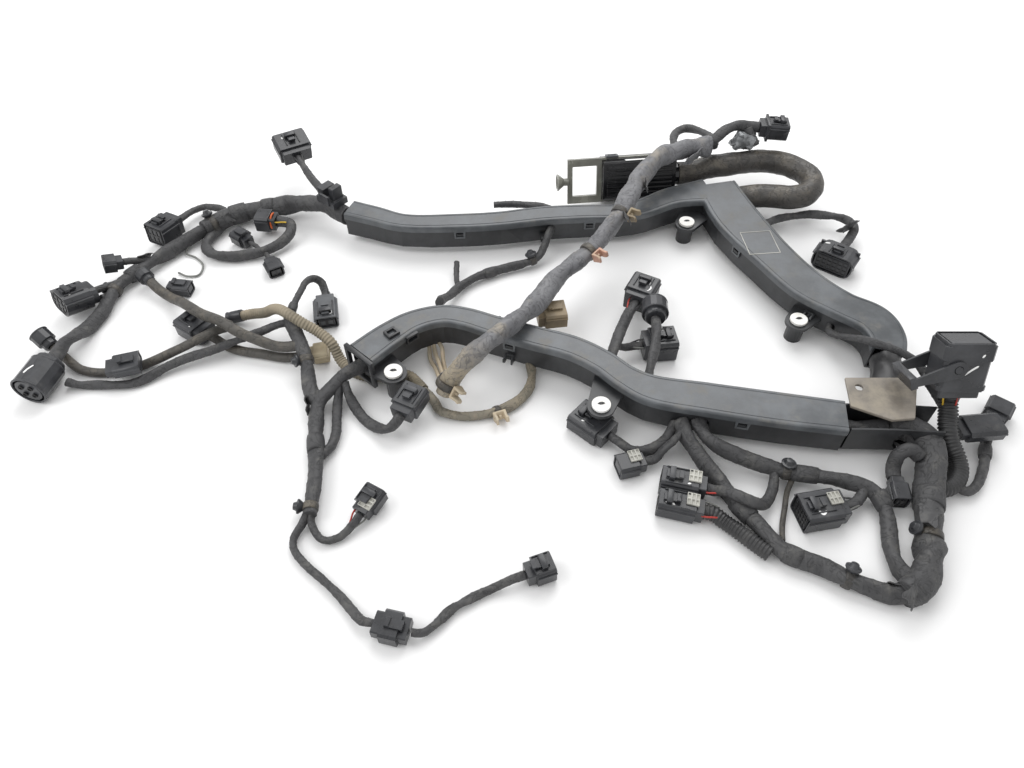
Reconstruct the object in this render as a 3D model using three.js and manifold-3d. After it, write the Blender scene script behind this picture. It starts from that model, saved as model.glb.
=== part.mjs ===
// Engine wiring harness: two snap-lid cable ducts, the taped looms that run through them, and
// the plugs, clips and brackets at their ends, as the set lies on a flat floor after removal.
// Units are millimetres. X runs to the right, Y away from the viewer and Z up from the floor.

import * as THREE from 'three';
import { mergeVertices } from 'three/addons/utils/BufferGeometryUtils.js';
import Module from 'manifold-3d';

const wasm = await Module();
wasm.setup();

// Driving dimensions

const SEAT_GAP = 0.3; // left between two pieces that touch
const PLAN_CENTRE = [-5.33, -0.69]; // middle of the whole harness, which the origin stands under

const TUBE_STEP = 3; // length of one tube step, in diameters
const TUBE_SIDES = 8;
const THICK_TUBE = 20; // a loom from this diameter up gets more sides
const THICK_TUBE_SIDES = 10;

// The rear duct: floor height, outer height, and stations of its lid as [x, y, lid width]
const REAR_DUCT = {
  floor: 10,
  height: 28,
  arm: [
    [-190, 179, 28], [-160, 168, 27], [-125, 155, 25], [-60, 155, 26], [-14, 159, 26],
    [36, 168, 27], [90, 172, 26], [125, 173, 26], [152, 181, 28], [190, 202, 32], [236, 214, 44],
  ],
  leg: [
    [246, 226, 50], [262, 158, 56], [290, 92, 48], [314, 48, 46],
    [343, 18, 40], [368, -2, 42], [374, -24, 38], [370, -46, 33],
  ],
};

// The front duct, with the lid ending before the tray does at the right
const FRONT_DUCT = {
  floor: 12,
  height: 30,
  arm: [
    [-146, -54, 34], [-122, -28, 32], [-99, -9, 28], [-70, 0, 26], [-47, -4, 26], [-18, -16, 27],
    [22, -31, 28], [60, -45, 28], [88, -64, 28], [107, -83, 29], [130, -98, 34],
    [180, -109, 37], [248, -122, 38], [303, -131, 36],
  ],
  tray: [[296, -130, 34], [345, -131, 34], [388, -134, 34]],
};

const DUCT_WALL = 1.8;
const DUCT_FLOOR = 2.2;
const LID_WALL = 1.6;
const LID_THICKNESS = 2;
const LID_SKIRT = 5; // how far the lid reaches down over the tray
const LID_CLEARANCE = 0.4;
const DUCT_STEPS = 2; // straight steps between two stations

// Snap catches: a wedge on the tray stands in the window of a tab on the lid
const CATCH = { width: 7, height: 2.4, rise: 9.5 };
const TAB = { width: 14, drop: 8, clearance: 0.6 };

// Fixing ears with a boss that stands on the engine, and the pin that goes through it
const EAR = { thickness: 4, radius: 13, root: 17, bossRadius: 9 };
const PIN = { head: 18, headHeight: 3, shank: 6.4, clearance: 0.35, slot: [7, 1.6, 1.2] };

// What all the plugs share
const PLUG = {
  wall: 1.6,
  groove: 1.8,
  grooveDepth: 8,
  recess: 0.5,
  neckLength: 7,
  neckInset: 2.4,
  overlap: 1,
};
const LATCH = { width: 8, thickness: 1.6, gap: 1.2, foot: 3, setback: 4, length: 15, pad: 4, rise: 1.5 };
const RAIL = { width: 1.2, height: 1.6 };

const CLIP = { band: 1.5, length: 9, foot: 8, leg: 7, legLength: 7 };

// The control unit plug lies on its edge; the thick trunk leaves from the boss at its right end
const UNIT = { length: 90, depth: 30, height: 48, edge: 2.5, lean: 18, yaw: 6.5, at: [112, 226, 13] };
const UNIT_BOSS = { diameter: 27, length: 5 };

const FINISHES = {
  lid: { color: 0x66696b, roughness: 0.55, metalness: 0 },
  tray: { color: 0x2b2d2f, roughness: 0.5, metalness: 0 },
  tape: { color: 0x46474a, roughness: 0.85, metalness: 0 },
  dustyTape: { color: 0x77777a, roughness: 0.9, metalness: 0 },
  conduit: { color: 0x968e78, roughness: 0.8, metalness: 0 },
  blackConduit: { color: 0x26282a, roughness: 0.6, metalness: 0 },
  plug: { color: 0x35373a, roughness: 0.5, metalness: 0 },
  greyPlug: { color: 0x6b6d6f, roughness: 0.5, metalness: 0 },
  brownPlug: { color: 0x6c6252, roughness: 0.6, metalness: 0 },
  beigePlug: { color: 0xa89a80, roughness: 0.6, metalness: 0 },
  gloss: { color: 0x141416, roughness: 0.25, metalness: 0 },
  clear: { color: 0x8d9488, roughness: 0.2, metalness: 0 },
  bracket: { color: 0x8c847a, roughness: 0.6, metalness: 0.1 },
  pin: { color: 0xe9e7e2, roughness: 0.45, metalness: 0 },
};

// A place on the middle line of the control unit plug, so far along from its left end
function unitPlace(along) {
  const place = new THREE.Vector3(along, UNIT.depth / 2, UNIT.height / 2);
  place.applyAxisAngle(new THREE.Vector3(1, 0, 0), THREE.MathUtils.degToRad(-UNIT.lean));
  place.applyAxisAngle(new THREE.Vector3(0, 0, 1), THREE.MathUtils.degToRad(UNIT.yaw));
  return place.add(new THREE.Vector3(...UNIT.at));
}

const unitEnd = UNIT.length + UNIT_BOSS.length + SEAT_GAP;

// Routes of the looms and branches: outer diameter, then points along the middle

const ROUTES = {
  rearDuctRun: [14, [
    [-204, 190], ...REAR_DUCT.arm.slice(0, -1), [228, 207], [252, 188], ...REAR_DUCT.leg.slice(1),
  ].map(([x, y]) => [x, y, REAR_DUCT.floor + REAR_DUCT.height / 2])],
  leftTrunk: [22, [
    [-195, 183, 24], [-207, 192, 24], [-227, 205, 24], [-256, 213, 20],
    [-295, 211, 15], [-330, 202, 13.5], [-350, 188, 13.5], [-366, 172, 13],
  ]],
  leftTrunkMiddle: [17, [
    [-360, 178, 12], [-378, 160, 11], [-396, 138, 10], [-414, 115, 10], [-436, 86, 10],
  ]],
  leftTrunkEnd: [13, [
    [-428, 98, 10], [-438, 80, 9], [-442, 60, 8], [-443, 38, 8],
    [-450, 14, 8], [-454, -4, 15], [-457, -18, 19.6], [-460, -32, 18.2], [-462, -42, 18.2],
  ]],
  relayBranch: [9, [
    [-222, 208, 28], [-232, 224, 33], [-245, 240, 38], [-256, 256, 43], [-264, 270, 47],
  ]],
  coolantBranch: [9, [
    [-338, 194, 14], [-351, 209, 13], [-366, 217, 11], [-379, 219, 10],
    [-390, 208, 12], [-396, 193, 15], [-401, 183, 16],
  ]],
  leftLoop: [12, [
    [-349, 184, 9], [-357, 166, 8], [-359, 148, 8], [-348, 134, 8], [-326, 129, 8], [-304, 133, 8],
    [-286, 139, 9], [-271, 150, 11], [-262, 164, 14], [-263, 177, 17], [-271, 180, 18], [-279, 181, 18],
  ]],
  sensorBranchA: [6, [[-292, 138, 9], [-300, 146, 10], [-308, 152, 10]]],
  sensorBranchB: [6, [[-288, 138, 8], [-283, 130, 8], [-279, 123, 8]]],
  uprightBranch: [8, [[-408, 120, 11], [-421, 115, 14], [-431, 110, 18], [-438, 106, 20]]],
  ovalBranch: [9, [[-432, 88, 10], [-443, 79, 11], [-452, 69, 14], [-458, 62, 16]]],
  underBranch: [8, [[-438, 76, 8], [-443, 66, 7], [-447, 61, 8], [-450, 57.4, 10]]],
  thinLoop: [2.4, [
    [-380, 150, 6], [-382, 141, 3], [-369, 134, 2], [-357, 120, 2],
    [-358, 104, 2], [-370, 102, 2], [-382, 108, 2],
  ]],
  cutStub: [9, [
    [64, 174, 24], [56, 187, 26], [42, 196, 26], [20, 203, 25], [0, 206, 24], [-22, 205, 24],
  ]],

  crossLead: [9.5, [
    [-475, -15, 10], [-469, -19, 6], [-461, -25, 4.9], [-450, -34, 4.9], [-438, -42, 5], [-420, -46, 5],
    [-399, -44, 5], [-380, -37, 5], [-364, -31, 8], [-350, -27, 13], [-333, -22, 19], [-316, -14, 24],
    [-305, -3, 22], [-300, 8, 15], [-300, 18, 10],
  ]],
  lowerLead: [9, [
    [-445, -60, 7], [-433, -62, 5], [-414, -62, 5], [-396, -62, 5], [-380, -60, 5], [-366, -53, 6],
    [-352, -42, 8], [-334, -33, 11], [-306, -24, 15], [-281, -10, 16], [-259, -2, 20],
    [-243, 2, 25], [-229, 3, 28],
  ]],
  ventLead: [11, [
    [-401, 80, 13], [-391, 71, 11], [-374, 58, 11], [-356, 42, 20], [-338, 22, 33], [-318, 6, 36.5],
    [-299, -1, 34], [-277, -13, 29], [-258, -18, 23], [-242, -22, 19], [-228, -24, 20], [-214, -25, 24],
  ]],
  blueLead: [10, [
    [-318.5, 2, 11.4], [-311, -3, 11.2], [-297, -10, 6], [-282, -16, 5.3],
    [-257, -21, 5.3], [-239, -25, 5.3], [-224, -26, 6.5], [-211, -24, 7.4],
  ]],

  leftConduit: [11, [
    [-290, 30, 10], [-279, 30, 13], [-262, 25, 20], [-248, 17, 33], [-237, 8, 41], [-226, -1, 43],
    [-212, -8, 38], [-198, -12, 30], [-184, -21, 23], [-175, -32, 9], [-165, -42, 5.7], [-151, -50, 5.7],
    [-136, -52, 5.8], [-118, -48, 5.9], [-104, -51, 5.9], [-95, -60, 5.9], [-88, -69, 5.9],
  ]],

  bundle: [15, [
    [-231, 14, 28], [-227, 2, 28], [-220, -12, 26], [-213, -26, 24], [-207, -40, 20], [-203, -57, 14],
    [-199, -72, 11], [-192, -84, 10], [-182, -83, 12],
  ]],
  frontDuctRun: [14, [
    [-186, -84, 12], [-176, -76, 18], [-164, -66, 25],
    ...[...FRONT_DUCT.arm, ...FRONT_DUCT.tray.slice(1, 2)]
      .map(([x, y]) => [x, y, FRONT_DUCT.floor + FRONT_DUCT.height / 2]),
  ]],
  greyBranch: [8, [
    [-231, 10, 28], [-230, 27, 28], [-228, 41, 28], [-226, 54, 27], [-224, 66, 26],
    [-218, 75, 23], [-211, 76, 17], [-206.5, 68, 10.6], [-204.5, 58, 10.3],
  ]],
  downTrunk: [15, [
    [-184, -80, 14], [-188, -94, 11], [-187, -110, 10], [-184, -132, 10],
    [-180, -155, 10], [-177, -182, 10], [-176, -214, 10],
  ]],
  downBranch: [9, [
    [-168, -72, 20], [-170, -86, 9], [-169, -104, 6], [-167, -122, 6], [-169, -138, 7],
    [-176, -150, 8],
  ]],
  squareBranch: [10, [
    [-164, -72, 20], [-158, -84, 12], [-150, -96, 7], [-140, -108, 6],
    [-127, -118, 8], [-116, -124, 15], [-109, -122, 21], [-105, -114, 22],
  ]],
  coilBranchA: [11, [
    [92, -72, 27], [95, -58, 32], [99, -45, 34], [104, -30, 32],
    [109, -15, 30], [115, 1, 28], [122, 18, 26], [130, 33, 26],
  ]],
  coilBranchB: [10, [
    [128, -96, 27], [131, -76, 34], [136, -58, 38], [141, -42, 38], [144, -26, 37], [146, -12, 36],
    [147, 1, 35],
  ]],
  coilBranchC: [8, [
    [103, -33, 32], [110, -27, 23], [117, -21, 16], [125, -17, 13.4], [134, -16, 13.4],
  ]],

  injectorLeadA: [7.5, [
    [-176, -208, 8], [-173, -222, 6], [-162, -235, 5], [-149, -233, 5], [-137, -221, 8], [-132, -212.5, 9.4],
  ]],
  injectorLeadB: [7.5, [
    [-177, -208, 9], [-182, -222, 7], [-187, -233, 5], [-185, -244, 5], [-174, -257, 5], [-156, -272, 5],
    [-140, -286, 5], [-128, -299, 6], [-119, -308, 8.3], [-109, -310.4, 8.3],
  ]],
  injectorLeadC: [7.5, [
    [-79, -317.8, 8.3], [-70, -317.5, 7], [-60, -309, 5], [-48, -297, 5], [-33, -288, 5],
    [-14, -279, 6], [0, -274, 10], [11, -270, 10.3],
  ]],

  beigeLoom: [10, [
    [-87.2, -70.2, 5.9], [-81, -77, 5.6], [-75, -86, 5.5], [-71, -94, 5.5], [-62, -99, 5.5],
    [-49, -102, 5.5], [-33, -101, 5.5], [-20, -98, 5.5], [-6, -92, 5.5], [8, -81, 5.5],
    [17, -67, 5.5], [20, -52, 6], [19, -40, 8.5], [17, -33, 13],
  ]],

  diagonal: [24, [
    [238, 262, 67], [215, 256, 69], [197, 246, 71], [175, 230, 74], [156, 204, 74], [142, 179, 75],
    [130, 154, 74], [122, 136, 71], [112, 120, 66], [98, 101, 60], [84, 84, 56], [68, 69, 52],
    [54, 56, 49], [40, 36, 49], [26, 8, 52.2], [12, -16, 57.1],
  ]],
  diagonalEnd: [19, [
    [18, -8, 55.1], [2, -28, 59.1], [-14, -48, 62.5], [-28, -62, 62], [-42, -72, 54], [-52, -76, 42],
    [-61, -79, 29], [-66, -84, 19],
  ]],
  crossBranch: [10, [
    [48, 169, 24], [45, 156, 26], [41, 145, 24], [37, 135, 18], [30, 124, 12], [16, 117, 9], [-2, 111, 8],
    [-20, 104, 8], [-40, 94, 8], [-58, 78, 8], [-68, 60, 12], [-74, 44, 22], [-76, 28, 33],
  ]],
  strandStub: [6, [[-60, 76, 7], [-62, 88, 8], [-63, 102, 9], [-63, 116, 11]]],
  topLoop: [10, [
    [203, 258, 64], [200, 274, 60], [201, 294, 56], [209, 316, 53], [223, 326, 52],
    [236, 318, 54], [246, 302, 57], [250, 286, 60], [246, 270, 62],
  ]],
  grommetBranch: [13, [
    [232, 262, 66], [247, 272, 72], [262, 285, 76], [277, 292, 77], [291, 293, 75],
    [303, 292, 74.6],
  ]],
  grommetDrop: [13, [[289, 291, 74], [293, 285, 67], [298, 276, 58.5]]],

  ecuTrunk: [27, [
    ...[0, 10, 22].map((past) => unitPlace(unitEnd + past).toArray()),
    [242, 264, 36], [264, 267, 38], [296, 271, 40], [325, 268, 41],
    [346, 256, 42], [359, 238, 42], [360, 219, 41], [350, 205, 39], [334, 203, 36],
    [316, 210, 32], [299, 217, 28], [281, 217, 26], [264, 209, 26],
  ]],
  wideBranch: [10, [
    [276, 158, 20], [291, 168, 19], [305, 181, 16], [320, 191, 14], [340, 196, 14], [358, 197, 16],
    [374, 194, 17],
    [389, 191, 17], [401, 183, 17], [405, 171, 16], [397, 156, 15], [387, 143, 13.5], [379, 132, 13.5],
  ]],
  sideCord: [7.5, [
    [331, 7, 20], [328, -1, 20], [332, -9, 22], [340, -18, 28], [347, -30, 38], [355, -42, 45],
    [365, -51, 48],
    [376, -59, 48], [386, -68, 46], [392, -80, 42], [395, -94, 38], [397, -108, 37], [399, -122, 36],
  ]],
  rightLoop: [17, [
    [402, -108.5, 50], [402, -112, 42], [401, -123, 35], [399, -135, 29], [401, -147, 21], [405, -158, 14],
    [404, -169, 11], [397, -180, 10], [386, -186, 10], [370, -186, 13],
  ]],
  ringBranch: [10, [
    [396, -182, 9], [406, -188, 7], [417, -182, 6], [428, -168, 6], [437, -152, 6],
    [444, -136, 6], [452, -120, 8.3], [460, -110, 8.4],
  ]],
  rightTrunk: [25, [
    [345.6, -131, 27.2], [360, -131.4, 27.4], [374, -142, 27], [378, -157, 24], [374, -175, 18],
    [368, -192, 14],
    [361, -212, 14.3], [354, -232, 14.6], [348, -250, 14.6], [341, -267, 14.6], [331, -280, 14.4],
    [316, -289, 14],
  ]],
  bottomTrunk: [16, [
    [326, -285, 12], [308, -287, 9], [292, -281, 9], [274, -272, 9], [257, -262, 9], [243, -256, 9],
    [229, -248, 9],
    [220, -236, 9], [212, -222, 9], [203, -209, 9], [194, -195, 9], [186, -180, 10], [177, -166, 13],
    [168, -152, 18], [160, -138, 22], [156, -122, 24],
  ]],
  frontBranch: [14, [
    [330, -281, 14], [321, -270, 12], [318, -258, 11], [320, -240, 10], [324, -224, 10], [326, -208, 10],
    [323, -196, 12], [314, -188, 14], [302, -184, 15], [286, -180, 16], [264, -175, 15], [246, -171, 14],
    [225, -164, 15], [206, -157, 18], [190, -150, 21], [178, -140, 24], [172, -122, 26],
  ]],
  twinBranch: [10, [
    [171.8, -189.2, 13.4], [179, -191, 13.4], [187, -196, 20], [197, -203, 23], [209, -207, 20],
    [220, -204, 12], [228, -195, 9], [234, -183, 10], [237, -170, 12],
  ]],
  combBranch: [10, [[313, -187, 14], [306, -198, 12], [298, -204, 11.4], [289.5, -205.6, 11.4]]],
  thinCord: [5, [[254, -174, 10], [247, -186, 5], [241, -203, 4], [235, -220, 4], [230, -238, 8]]],
  earBranch: [10, [
    [152, -122, 22], [143, -137, 17], [132, -143, 11], [121, -144, 7],
    [110, -143, 8], [101, -137, 10.3], [92, -129, 10.4],
  ]],
  smallBranch: [8, [
    [156, -134, 24], [147, -145, 24], [139, -150, 19], [131, -154.5, 8.9], [121.5, -157, 8.9],
  ]],
  bootBranch: [13, [
    [366, -162, 24], [357, -158, 29], [348, -160, 25], [345, -166, 14], [344.5, -171, 10.6],
    [344, -177, 10.3],
  ]],
  rightConduit: [14, [
    [167, -210.6, 10.4], [175, -212.6, 10.2], [184, -219, 7.6], [194, -228, 7.6], [206, -240, 7.6],
    [217, -250, 7.6],
  ]],
};

// Solids from three.js shapes

function toSolid(geometry) {
  const bare = new THREE.BufferGeometry();
  bare.setAttribute('position', geometry.getAttribute('position'));
  bare.setIndex(geometry.getIndex());
  const merged = mergeVertices(bare, 1e-4);
  return new wasm.Manifold(new wasm.Mesh({
    numProp: 3,
    vertProperties: Float32Array.from(merged.getAttribute('position').array),
    triVerts: Uint32Array.from(merged.getIndex().array),
  }));
}

function toGeometry(solid) {
  const mesh = solid.simplify(0.02).getMesh();
  const geometry = new THREE.BufferGeometry();
  geometry.setAttribute('position', new THREE.BufferAttribute(mesh.vertProperties, 3));
  geometry.setIndex(new THREE.BufferAttribute(mesh.triVerts, 1));
  geometry.computeVertexNormals();
  return geometry;
}

const join = (...solids) => solids.reduce((whole, next) => whole.add(next));

function block(length, width, height, x = 0, y = 0, z = 0) {
  return toSolid(new THREE.BoxGeometry(length, width, height).translate(x, y, z));
}

function disc(diameter, height, x, y, z, sides = 20) {
  const radius = diameter / 2;
  const geometry = new THREE.CylinderGeometry(radius, radius, height, sides).rotateX(Math.PI / 2);
  return toSolid(geometry.translate(x, y, z + height / 2));
}

// A rectangle with its corners cut or rounded
function softRectangle(width, height, corner, steps = 1) {
  const shape = new THREE.Shape();
  for (const [sx, sy, start] of [[1, 1, 0], [-1, 1, 1], [-1, -1, 2], [1, -1, 3]]) {
    for (let i = 0; i <= steps; i += 1) {
      const angle = (start + i / steps) * Math.PI / 2;
      const x = sx * (width / 2 - corner) + corner * Math.cos(angle);
      const y = sy * (height / 2 - corner) + corner * Math.sin(angle);
      if (shape.curves.length === 0 && shape.currentPoint.lengthSq() === 0) shape.moveTo(x, y);
      else shape.lineTo(x, y);
    }
  }
  shape.closePath();
  return shape;
}

function polygon(points) {
  return new THREE.Shape(points.map(([x, y]) => new THREE.Vector2(x, y)));
}

// A plan outline raised from one height to another
function raised(shape, from, to) {
  const settings = { depth: to - from, bevelEnabled: false, curveSegments: 6 };
  const geometry = new THREE.ExtrudeGeometry(shape, settings);
  return toSolid(geometry.translate(0, 0, from));
}

// A section in the YZ plane drawn along X
function bar(shape, from, to) {
  const settings = { depth: to - from, bevelEnabled: false, curveSegments: 4 };
  const geometry = new THREE.ExtrudeGeometry(shape, settings);
  const turn = new THREE.Matrix4().makeBasis(
    new THREE.Vector3(0, 1, 0),
    new THREE.Vector3(0, 0, 1),
    new THREE.Vector3(1, 0, 0),
  );
  return toSolid(geometry.applyMatrix4(turn).translate(from, 0, 0));
}

// A side view in the XZ plane, as wide as given along Y
function slab(points, width, y = 0) {
  const geometry = new THREE.ExtrudeGeometry(polygon(points), { depth: width, bevelEnabled: false });
  return toSolid(geometry.rotateX(Math.PI / 2).translate(0, y + width / 2, 0));
}

function routeCurve(points) {
  return new THREE.CatmullRomCurve3(points.map((point) => new THREE.Vector3(...point)));
}

// A tube along a route, grown all round where a clearance for it is wanted
function tube(points, diameter, extra = 0) {
  const curve = routeCurve(points);
  const radius = diameter / 2 + extra;
  const sides = diameter < THICK_TUBE ? TUBE_SIDES : THICK_TUBE_SIDES;
  const ring = [];
  for (let i = 0; i < sides; i += 1) {
    const angle = (i + 0.5) * 2 * Math.PI / sides;
    ring.push([radius * Math.cos(angle), radius * Math.sin(angle)]);
  }
  const steps = Math.max(3, Math.ceil(curve.getLength() / (TUBE_STEP * diameter)));
  return toSolid(new THREE.ExtrudeGeometry(polygon(ring), { steps, extrudePath: curve }));
}

const branch = (name, extra = 0) => tube(ROUTES[name][1], ROUTES[name][0], extra);
const loom = (names, extra = 0) => join(...names.map((name) => branch(name, extra)));

// Where a route ends: the place, and the direction that it leaves in
function routeEnd(name, atStart = false) {
  const points = ROUTES[name][1].map((point) => new THREE.Vector3(...point));
  if (atStart) points.reverse();
  const place = points.at(-1);
  return { place, heading: place.clone().sub(points.at(-2)).normalize() };
}

// The axes of a piece whose X runs along a heading and whose Z leans up, rolled about X
function poseMatrix(place, heading, rollDegrees = 0) {
  const side = new THREE.Vector3(0, 0, 1).cross(heading).normalize();
  const top = heading.clone().cross(side);
  const turn = new THREE.Matrix4().makeBasis(heading, side, top);
  turn.multiply(new THREE.Matrix4().makeRotationX(THREE.MathUtils.degToRad(rollDegrees)));
  return turn.setPosition(place);
}

// The harness and how a piece gets into it

const harness = new THREE.Group();
harness.position.set(-PLAN_CENTRE[0], -PLAN_CENTRE[1], 0);

function add(name, solid, finish, pose = new THREE.Matrix4()) {
  const mesh = new THREE.Mesh(toGeometry(solid), new THREE.MeshStandardMaterial(FINISHES[finish]));
  mesh.name = name;
  mesh.applyMatrix4(pose);
  harness.add(mesh);
  return mesh;
}

// Ducts

// The plan outline of a duct from its stations, narrowed on each side and run past its ends
function ribbon(stations, inset, overrun = 0) {
  const curve = routeCurve(stations);
  const points = curve.getPoints((stations.length - 1) * DUCT_STEPS);
  const left = [];
  const right = [];
  points.forEach((point, i) => {
    const before = points[Math.max(0, i - 1)];
    const after = points[Math.min(points.length - 1, i + 1)];
    const along = new THREE.Vector2(after.x - before.x, after.y - before.y).normalize();
    const past = i === 0 ? -overrun : i === points.length - 1 ? overrun : 0;
    const x = point.x + along.x * past;
    const y = point.y + along.y * past;
    const half = point.z / 2 - inset;
    left.push([x - along.y * half, y + along.x * half]);
    right.push([x + along.y * half, y - along.x * half]);
  });
  return polygon([...right, ...left.reverse()]);
}

const TRAY_INSET = LID_WALL + LID_CLEARANCE;

function ductLid(arms, { floor, height }) {
  const under = floor + height + SEAT_GAP;
  const skirt = floor + height - LID_SKIRT;
  const outer = arms.map((arm) => raised(ribbon(arm, 0), skirt, under + LID_THICKNESS));
  const inner = arms.map((arm) => raised(ribbon(arm, LID_WALL, 3), skirt - 1, under));
  return join(...outer).subtract(join(...inner));
}

const EDGE_STEP = 0.01; // share of an arm on each side of a catch, for the direction of its wall

// The pose on a duct's flank: X along the duct, Y out of it, at a share of the arm's length
function flankPose(stations, share, side, depth, height) {
  const curve = routeCurve(stations);
  const edge = (at) => {
    const point = curve.getPoint(at);
    const ahead = curve.getTangent(at);
    const reach = side * point.z / 2 / Math.hypot(ahead.x, ahead.y);
    return new THREE.Vector3(point.x - ahead.y * reach, point.y + ahead.x * reach, height);
  };
  const along = edge(share + EDGE_STEP).sub(edge(share - EDGE_STEP)).normalize().multiplyScalar(side);
  const out = new THREE.Vector3(-along.y, along.x, 0);
  const place = edge(share).addScaledVector(out, -depth);
  return new THREE.Matrix4().makeBasis(along, out, new THREE.Vector3(0, 0, 1)).setPosition(place);
}

function moved(geometry, pose) {
  return toSolid(geometry.applyMatrix4(pose));
}

// One snap catch: what is added to the tray, added to the lid and cut from the lid
function snapCatch(stations, share, side, { floor, height }) {
  const z = floor + height - CATCH.rise;
  const pose = flankPose(stations, share, side, 0, z);
  const reach = TRAY_INSET + DUCT_WALL / 2;
  const wedge = new THREE.BoxGeometry(CATCH.width, reach, CATCH.height).translate(0, -reach / 2, 0);
  const tabHeight = LID_SKIRT + TAB.drop;
  const tabMiddle = height + floor - tabHeight / 2 - z;
  const tab = new THREE.BoxGeometry(TAB.width, LID_WALL, tabHeight).translate(0, -LID_WALL / 2, tabMiddle);
  const window = new THREE.BoxGeometry(
    CATCH.width + 2 * TAB.clearance,
    LID_WALL * 3,
    CATCH.height + 2 * TAB.clearance,
  );
  return {
    wedge: moved(wedge, pose),
    tab: moved(tab, pose),
    window: moved(window, pose),
  };
}

// An ear that reaches from the duct to its boss, with the bore for its pin
function fixingEar([x, y], plateTop, heading, reach) {
  const plate = new THREE.Shape();
  plate.moveTo(0, -EAR.root);
  plate.lineTo(reach, -EAR.radius);
  plate.absarc(reach, 0, EAR.radius, -Math.PI / 2, Math.PI / 2, false);
  plate.lineTo(0, EAR.root);
  const settings = { depth: EAR.thickness, bevelEnabled: false, curveSegments: 8 };
  const geometry = new THREE.ExtrudeGeometry(plate, settings);
  geometry.translate(-reach, 0, plateTop - EAR.thickness);
  return toSolid(geometry.rotateZ(heading).translate(x, y, 0));
}

const pinBore = ([x, y], from, to) => disc(PIN.shank + 2 * PIN.clearance, to - from, x, y, from, 12);

function pinSolid(length) {
  const [slotLength, slotWidth, slotDepth] = PIN.slot;
  const head = disc(PIN.head, PIN.headHeight, 0, 0, 0, 24);
  const shank = disc(PIN.shank, length + PLUG.overlap, 0, 0, -length, 12);
  const slot = block(slotLength, slotWidth, 2 * slotDepth, 0, 0, PIN.headHeight);
  return join(head, shank).subtract(slot);
}

// Plugs, each along X from its cord side at 0 to its mating face

function plugShell({ length, width, height, corner = 2, cornerSteps = 1 }) {
  const inside = 2 * PLUG.wall;
  const core = inside + 2 * PLUG.groove;
  const rim = Math.max(0.6, corner - PLUG.wall);
  const body = bar(softRectangle(width, height, corner, cornerSteps), PLUG.neckLength, length);
  const neckIn = 2 * PLUG.neckInset;
  const neckShape = softRectangle(width - neckIn, height - neckIn, rim, cornerSteps);
  const neck = bar(neckShape, 0, PLUG.neckLength + PLUG.overlap);
  const boreShape = softRectangle(width - inside, height - inside, rim, cornerSteps);
  const bore = bar(boreShape, length - PLUG.grooveDepth, length + PLUG.overlap);
  const coreShape = softRectangle(width - core, height - core, 0.6, cornerSteps);
  const coreBlock = bar(coreShape, length - PLUG.grooveDepth - PLUG.overlap, length - PLUG.recess);
  return join(body, neck).subtract(bore).add(coreBlock);
}

// The sprung arm on top of a plug, hinged near the mating end
function latchArm(length, top, width = LATCH.width) {
  const front = length - LATCH.setback;
  const rear = Math.max(1, front - LATCH.length);
  const under = top + LATCH.gap;
  const over = under + LATCH.thickness;
  return slab([
    [front, top - PLUG.overlap],
    [front, over],
    [rear + LATCH.pad, over],
    [rear + LATCH.pad, over + LATCH.rise],
    [rear, over + LATCH.rise],
    [rear, under],
    [front - LATCH.foot, under],
    [front - LATCH.foot, top - PLUG.overlap],
  ], width);
}

function guideRails(length, width, height) {
  const run = length - PLUG.neckLength;
  const middle = PLUG.neckLength + run / 2;
  const deep = RAIL.width + PLUG.overlap;
  const place = width / 2 + (RAIL.width - PLUG.overlap) / 2;
  return join(...[-1, 1].map((side) => block(run, deep, RAIL.height, middle, side * place, height / 4)));
}

function boxPlug(spec) {
  const { length, width, height } = spec;
  return join(plugShell(spec), latchArm(length, height / 2), guideRails(length, width, height));
}

function plainPlug(spec) {
  return join(plugShell(spec), guideRails(spec.length, spec.width, spec.height));
}

// A turned plug, with its seal groove in the same outline
function roundPlug({ length, diameter, sides = 14 }) {
  const r = diameter / 2;
  const rim = r - PLUG.wall;
  const core = rim - PLUG.groove;
  const neck = r - PLUG.neckInset;
  const outline = [
    [0, 0], [neck - 1, 0], [neck, 2], [neck, PLUG.neckLength], [r, PLUG.neckLength], [r, length],
    [rim, length], [rim, length - PLUG.grooveDepth], [core, length - PLUG.grooveDepth],
    [core, length - PLUG.recess], [0, length - PLUG.recess],
  ];
  const turned = new THREE.LatheGeometry(outline.map(([x, y]) => new THREE.Vector2(x, y)), sides);
  return toSolid(turned.rotateZ(-Math.PI / 2));
}

// Straps and clips round a loom

function clip(routeName, share, rollDegrees) {
  const [diameter, points] = ROUTES[routeName];
  const curve = routeCurve(points);
  const pose = poseMatrix(curve.getPointAt(share), curve.getTangentAt(share), rollDegrees);
  const outer = diameter + 2 * CLIP.band;
  const band = new THREE.CylinderGeometry(outer / 2, outer / 2, CLIP.length, 10).rotateZ(Math.PI / 2);
  const lift = outer / 2 + CLIP.foot / 2 - CLIP.band;
  const foot = new THREE.BoxGeometry(CLIP.length, CLIP.leg, CLIP.foot).translate(0, 0, lift);
  const claw = new THREE.BoxGeometry(CLIP.length / 3, CLIP.leg * 1.6, CLIP.legLength);
  claw.translate(0, 0, lift + CLIP.foot / 2 + CLIP.legLength / 2 - PLUG.overlap);
  return join(...[band, foot, claw].map((geometry) => moved(geometry, pose)));
}

function hang(name, solid, finish, routeName, roll = 0, atStart = false) {
  const { place, heading } = routeEnd(routeName, atStart);
  add(name, solid, finish, poseMatrix(place.addScaledVector(heading, SEAT_GAP), heading, roll));
}


// Looms: every branch that is taped to the same bundle belongs to one piece

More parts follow.
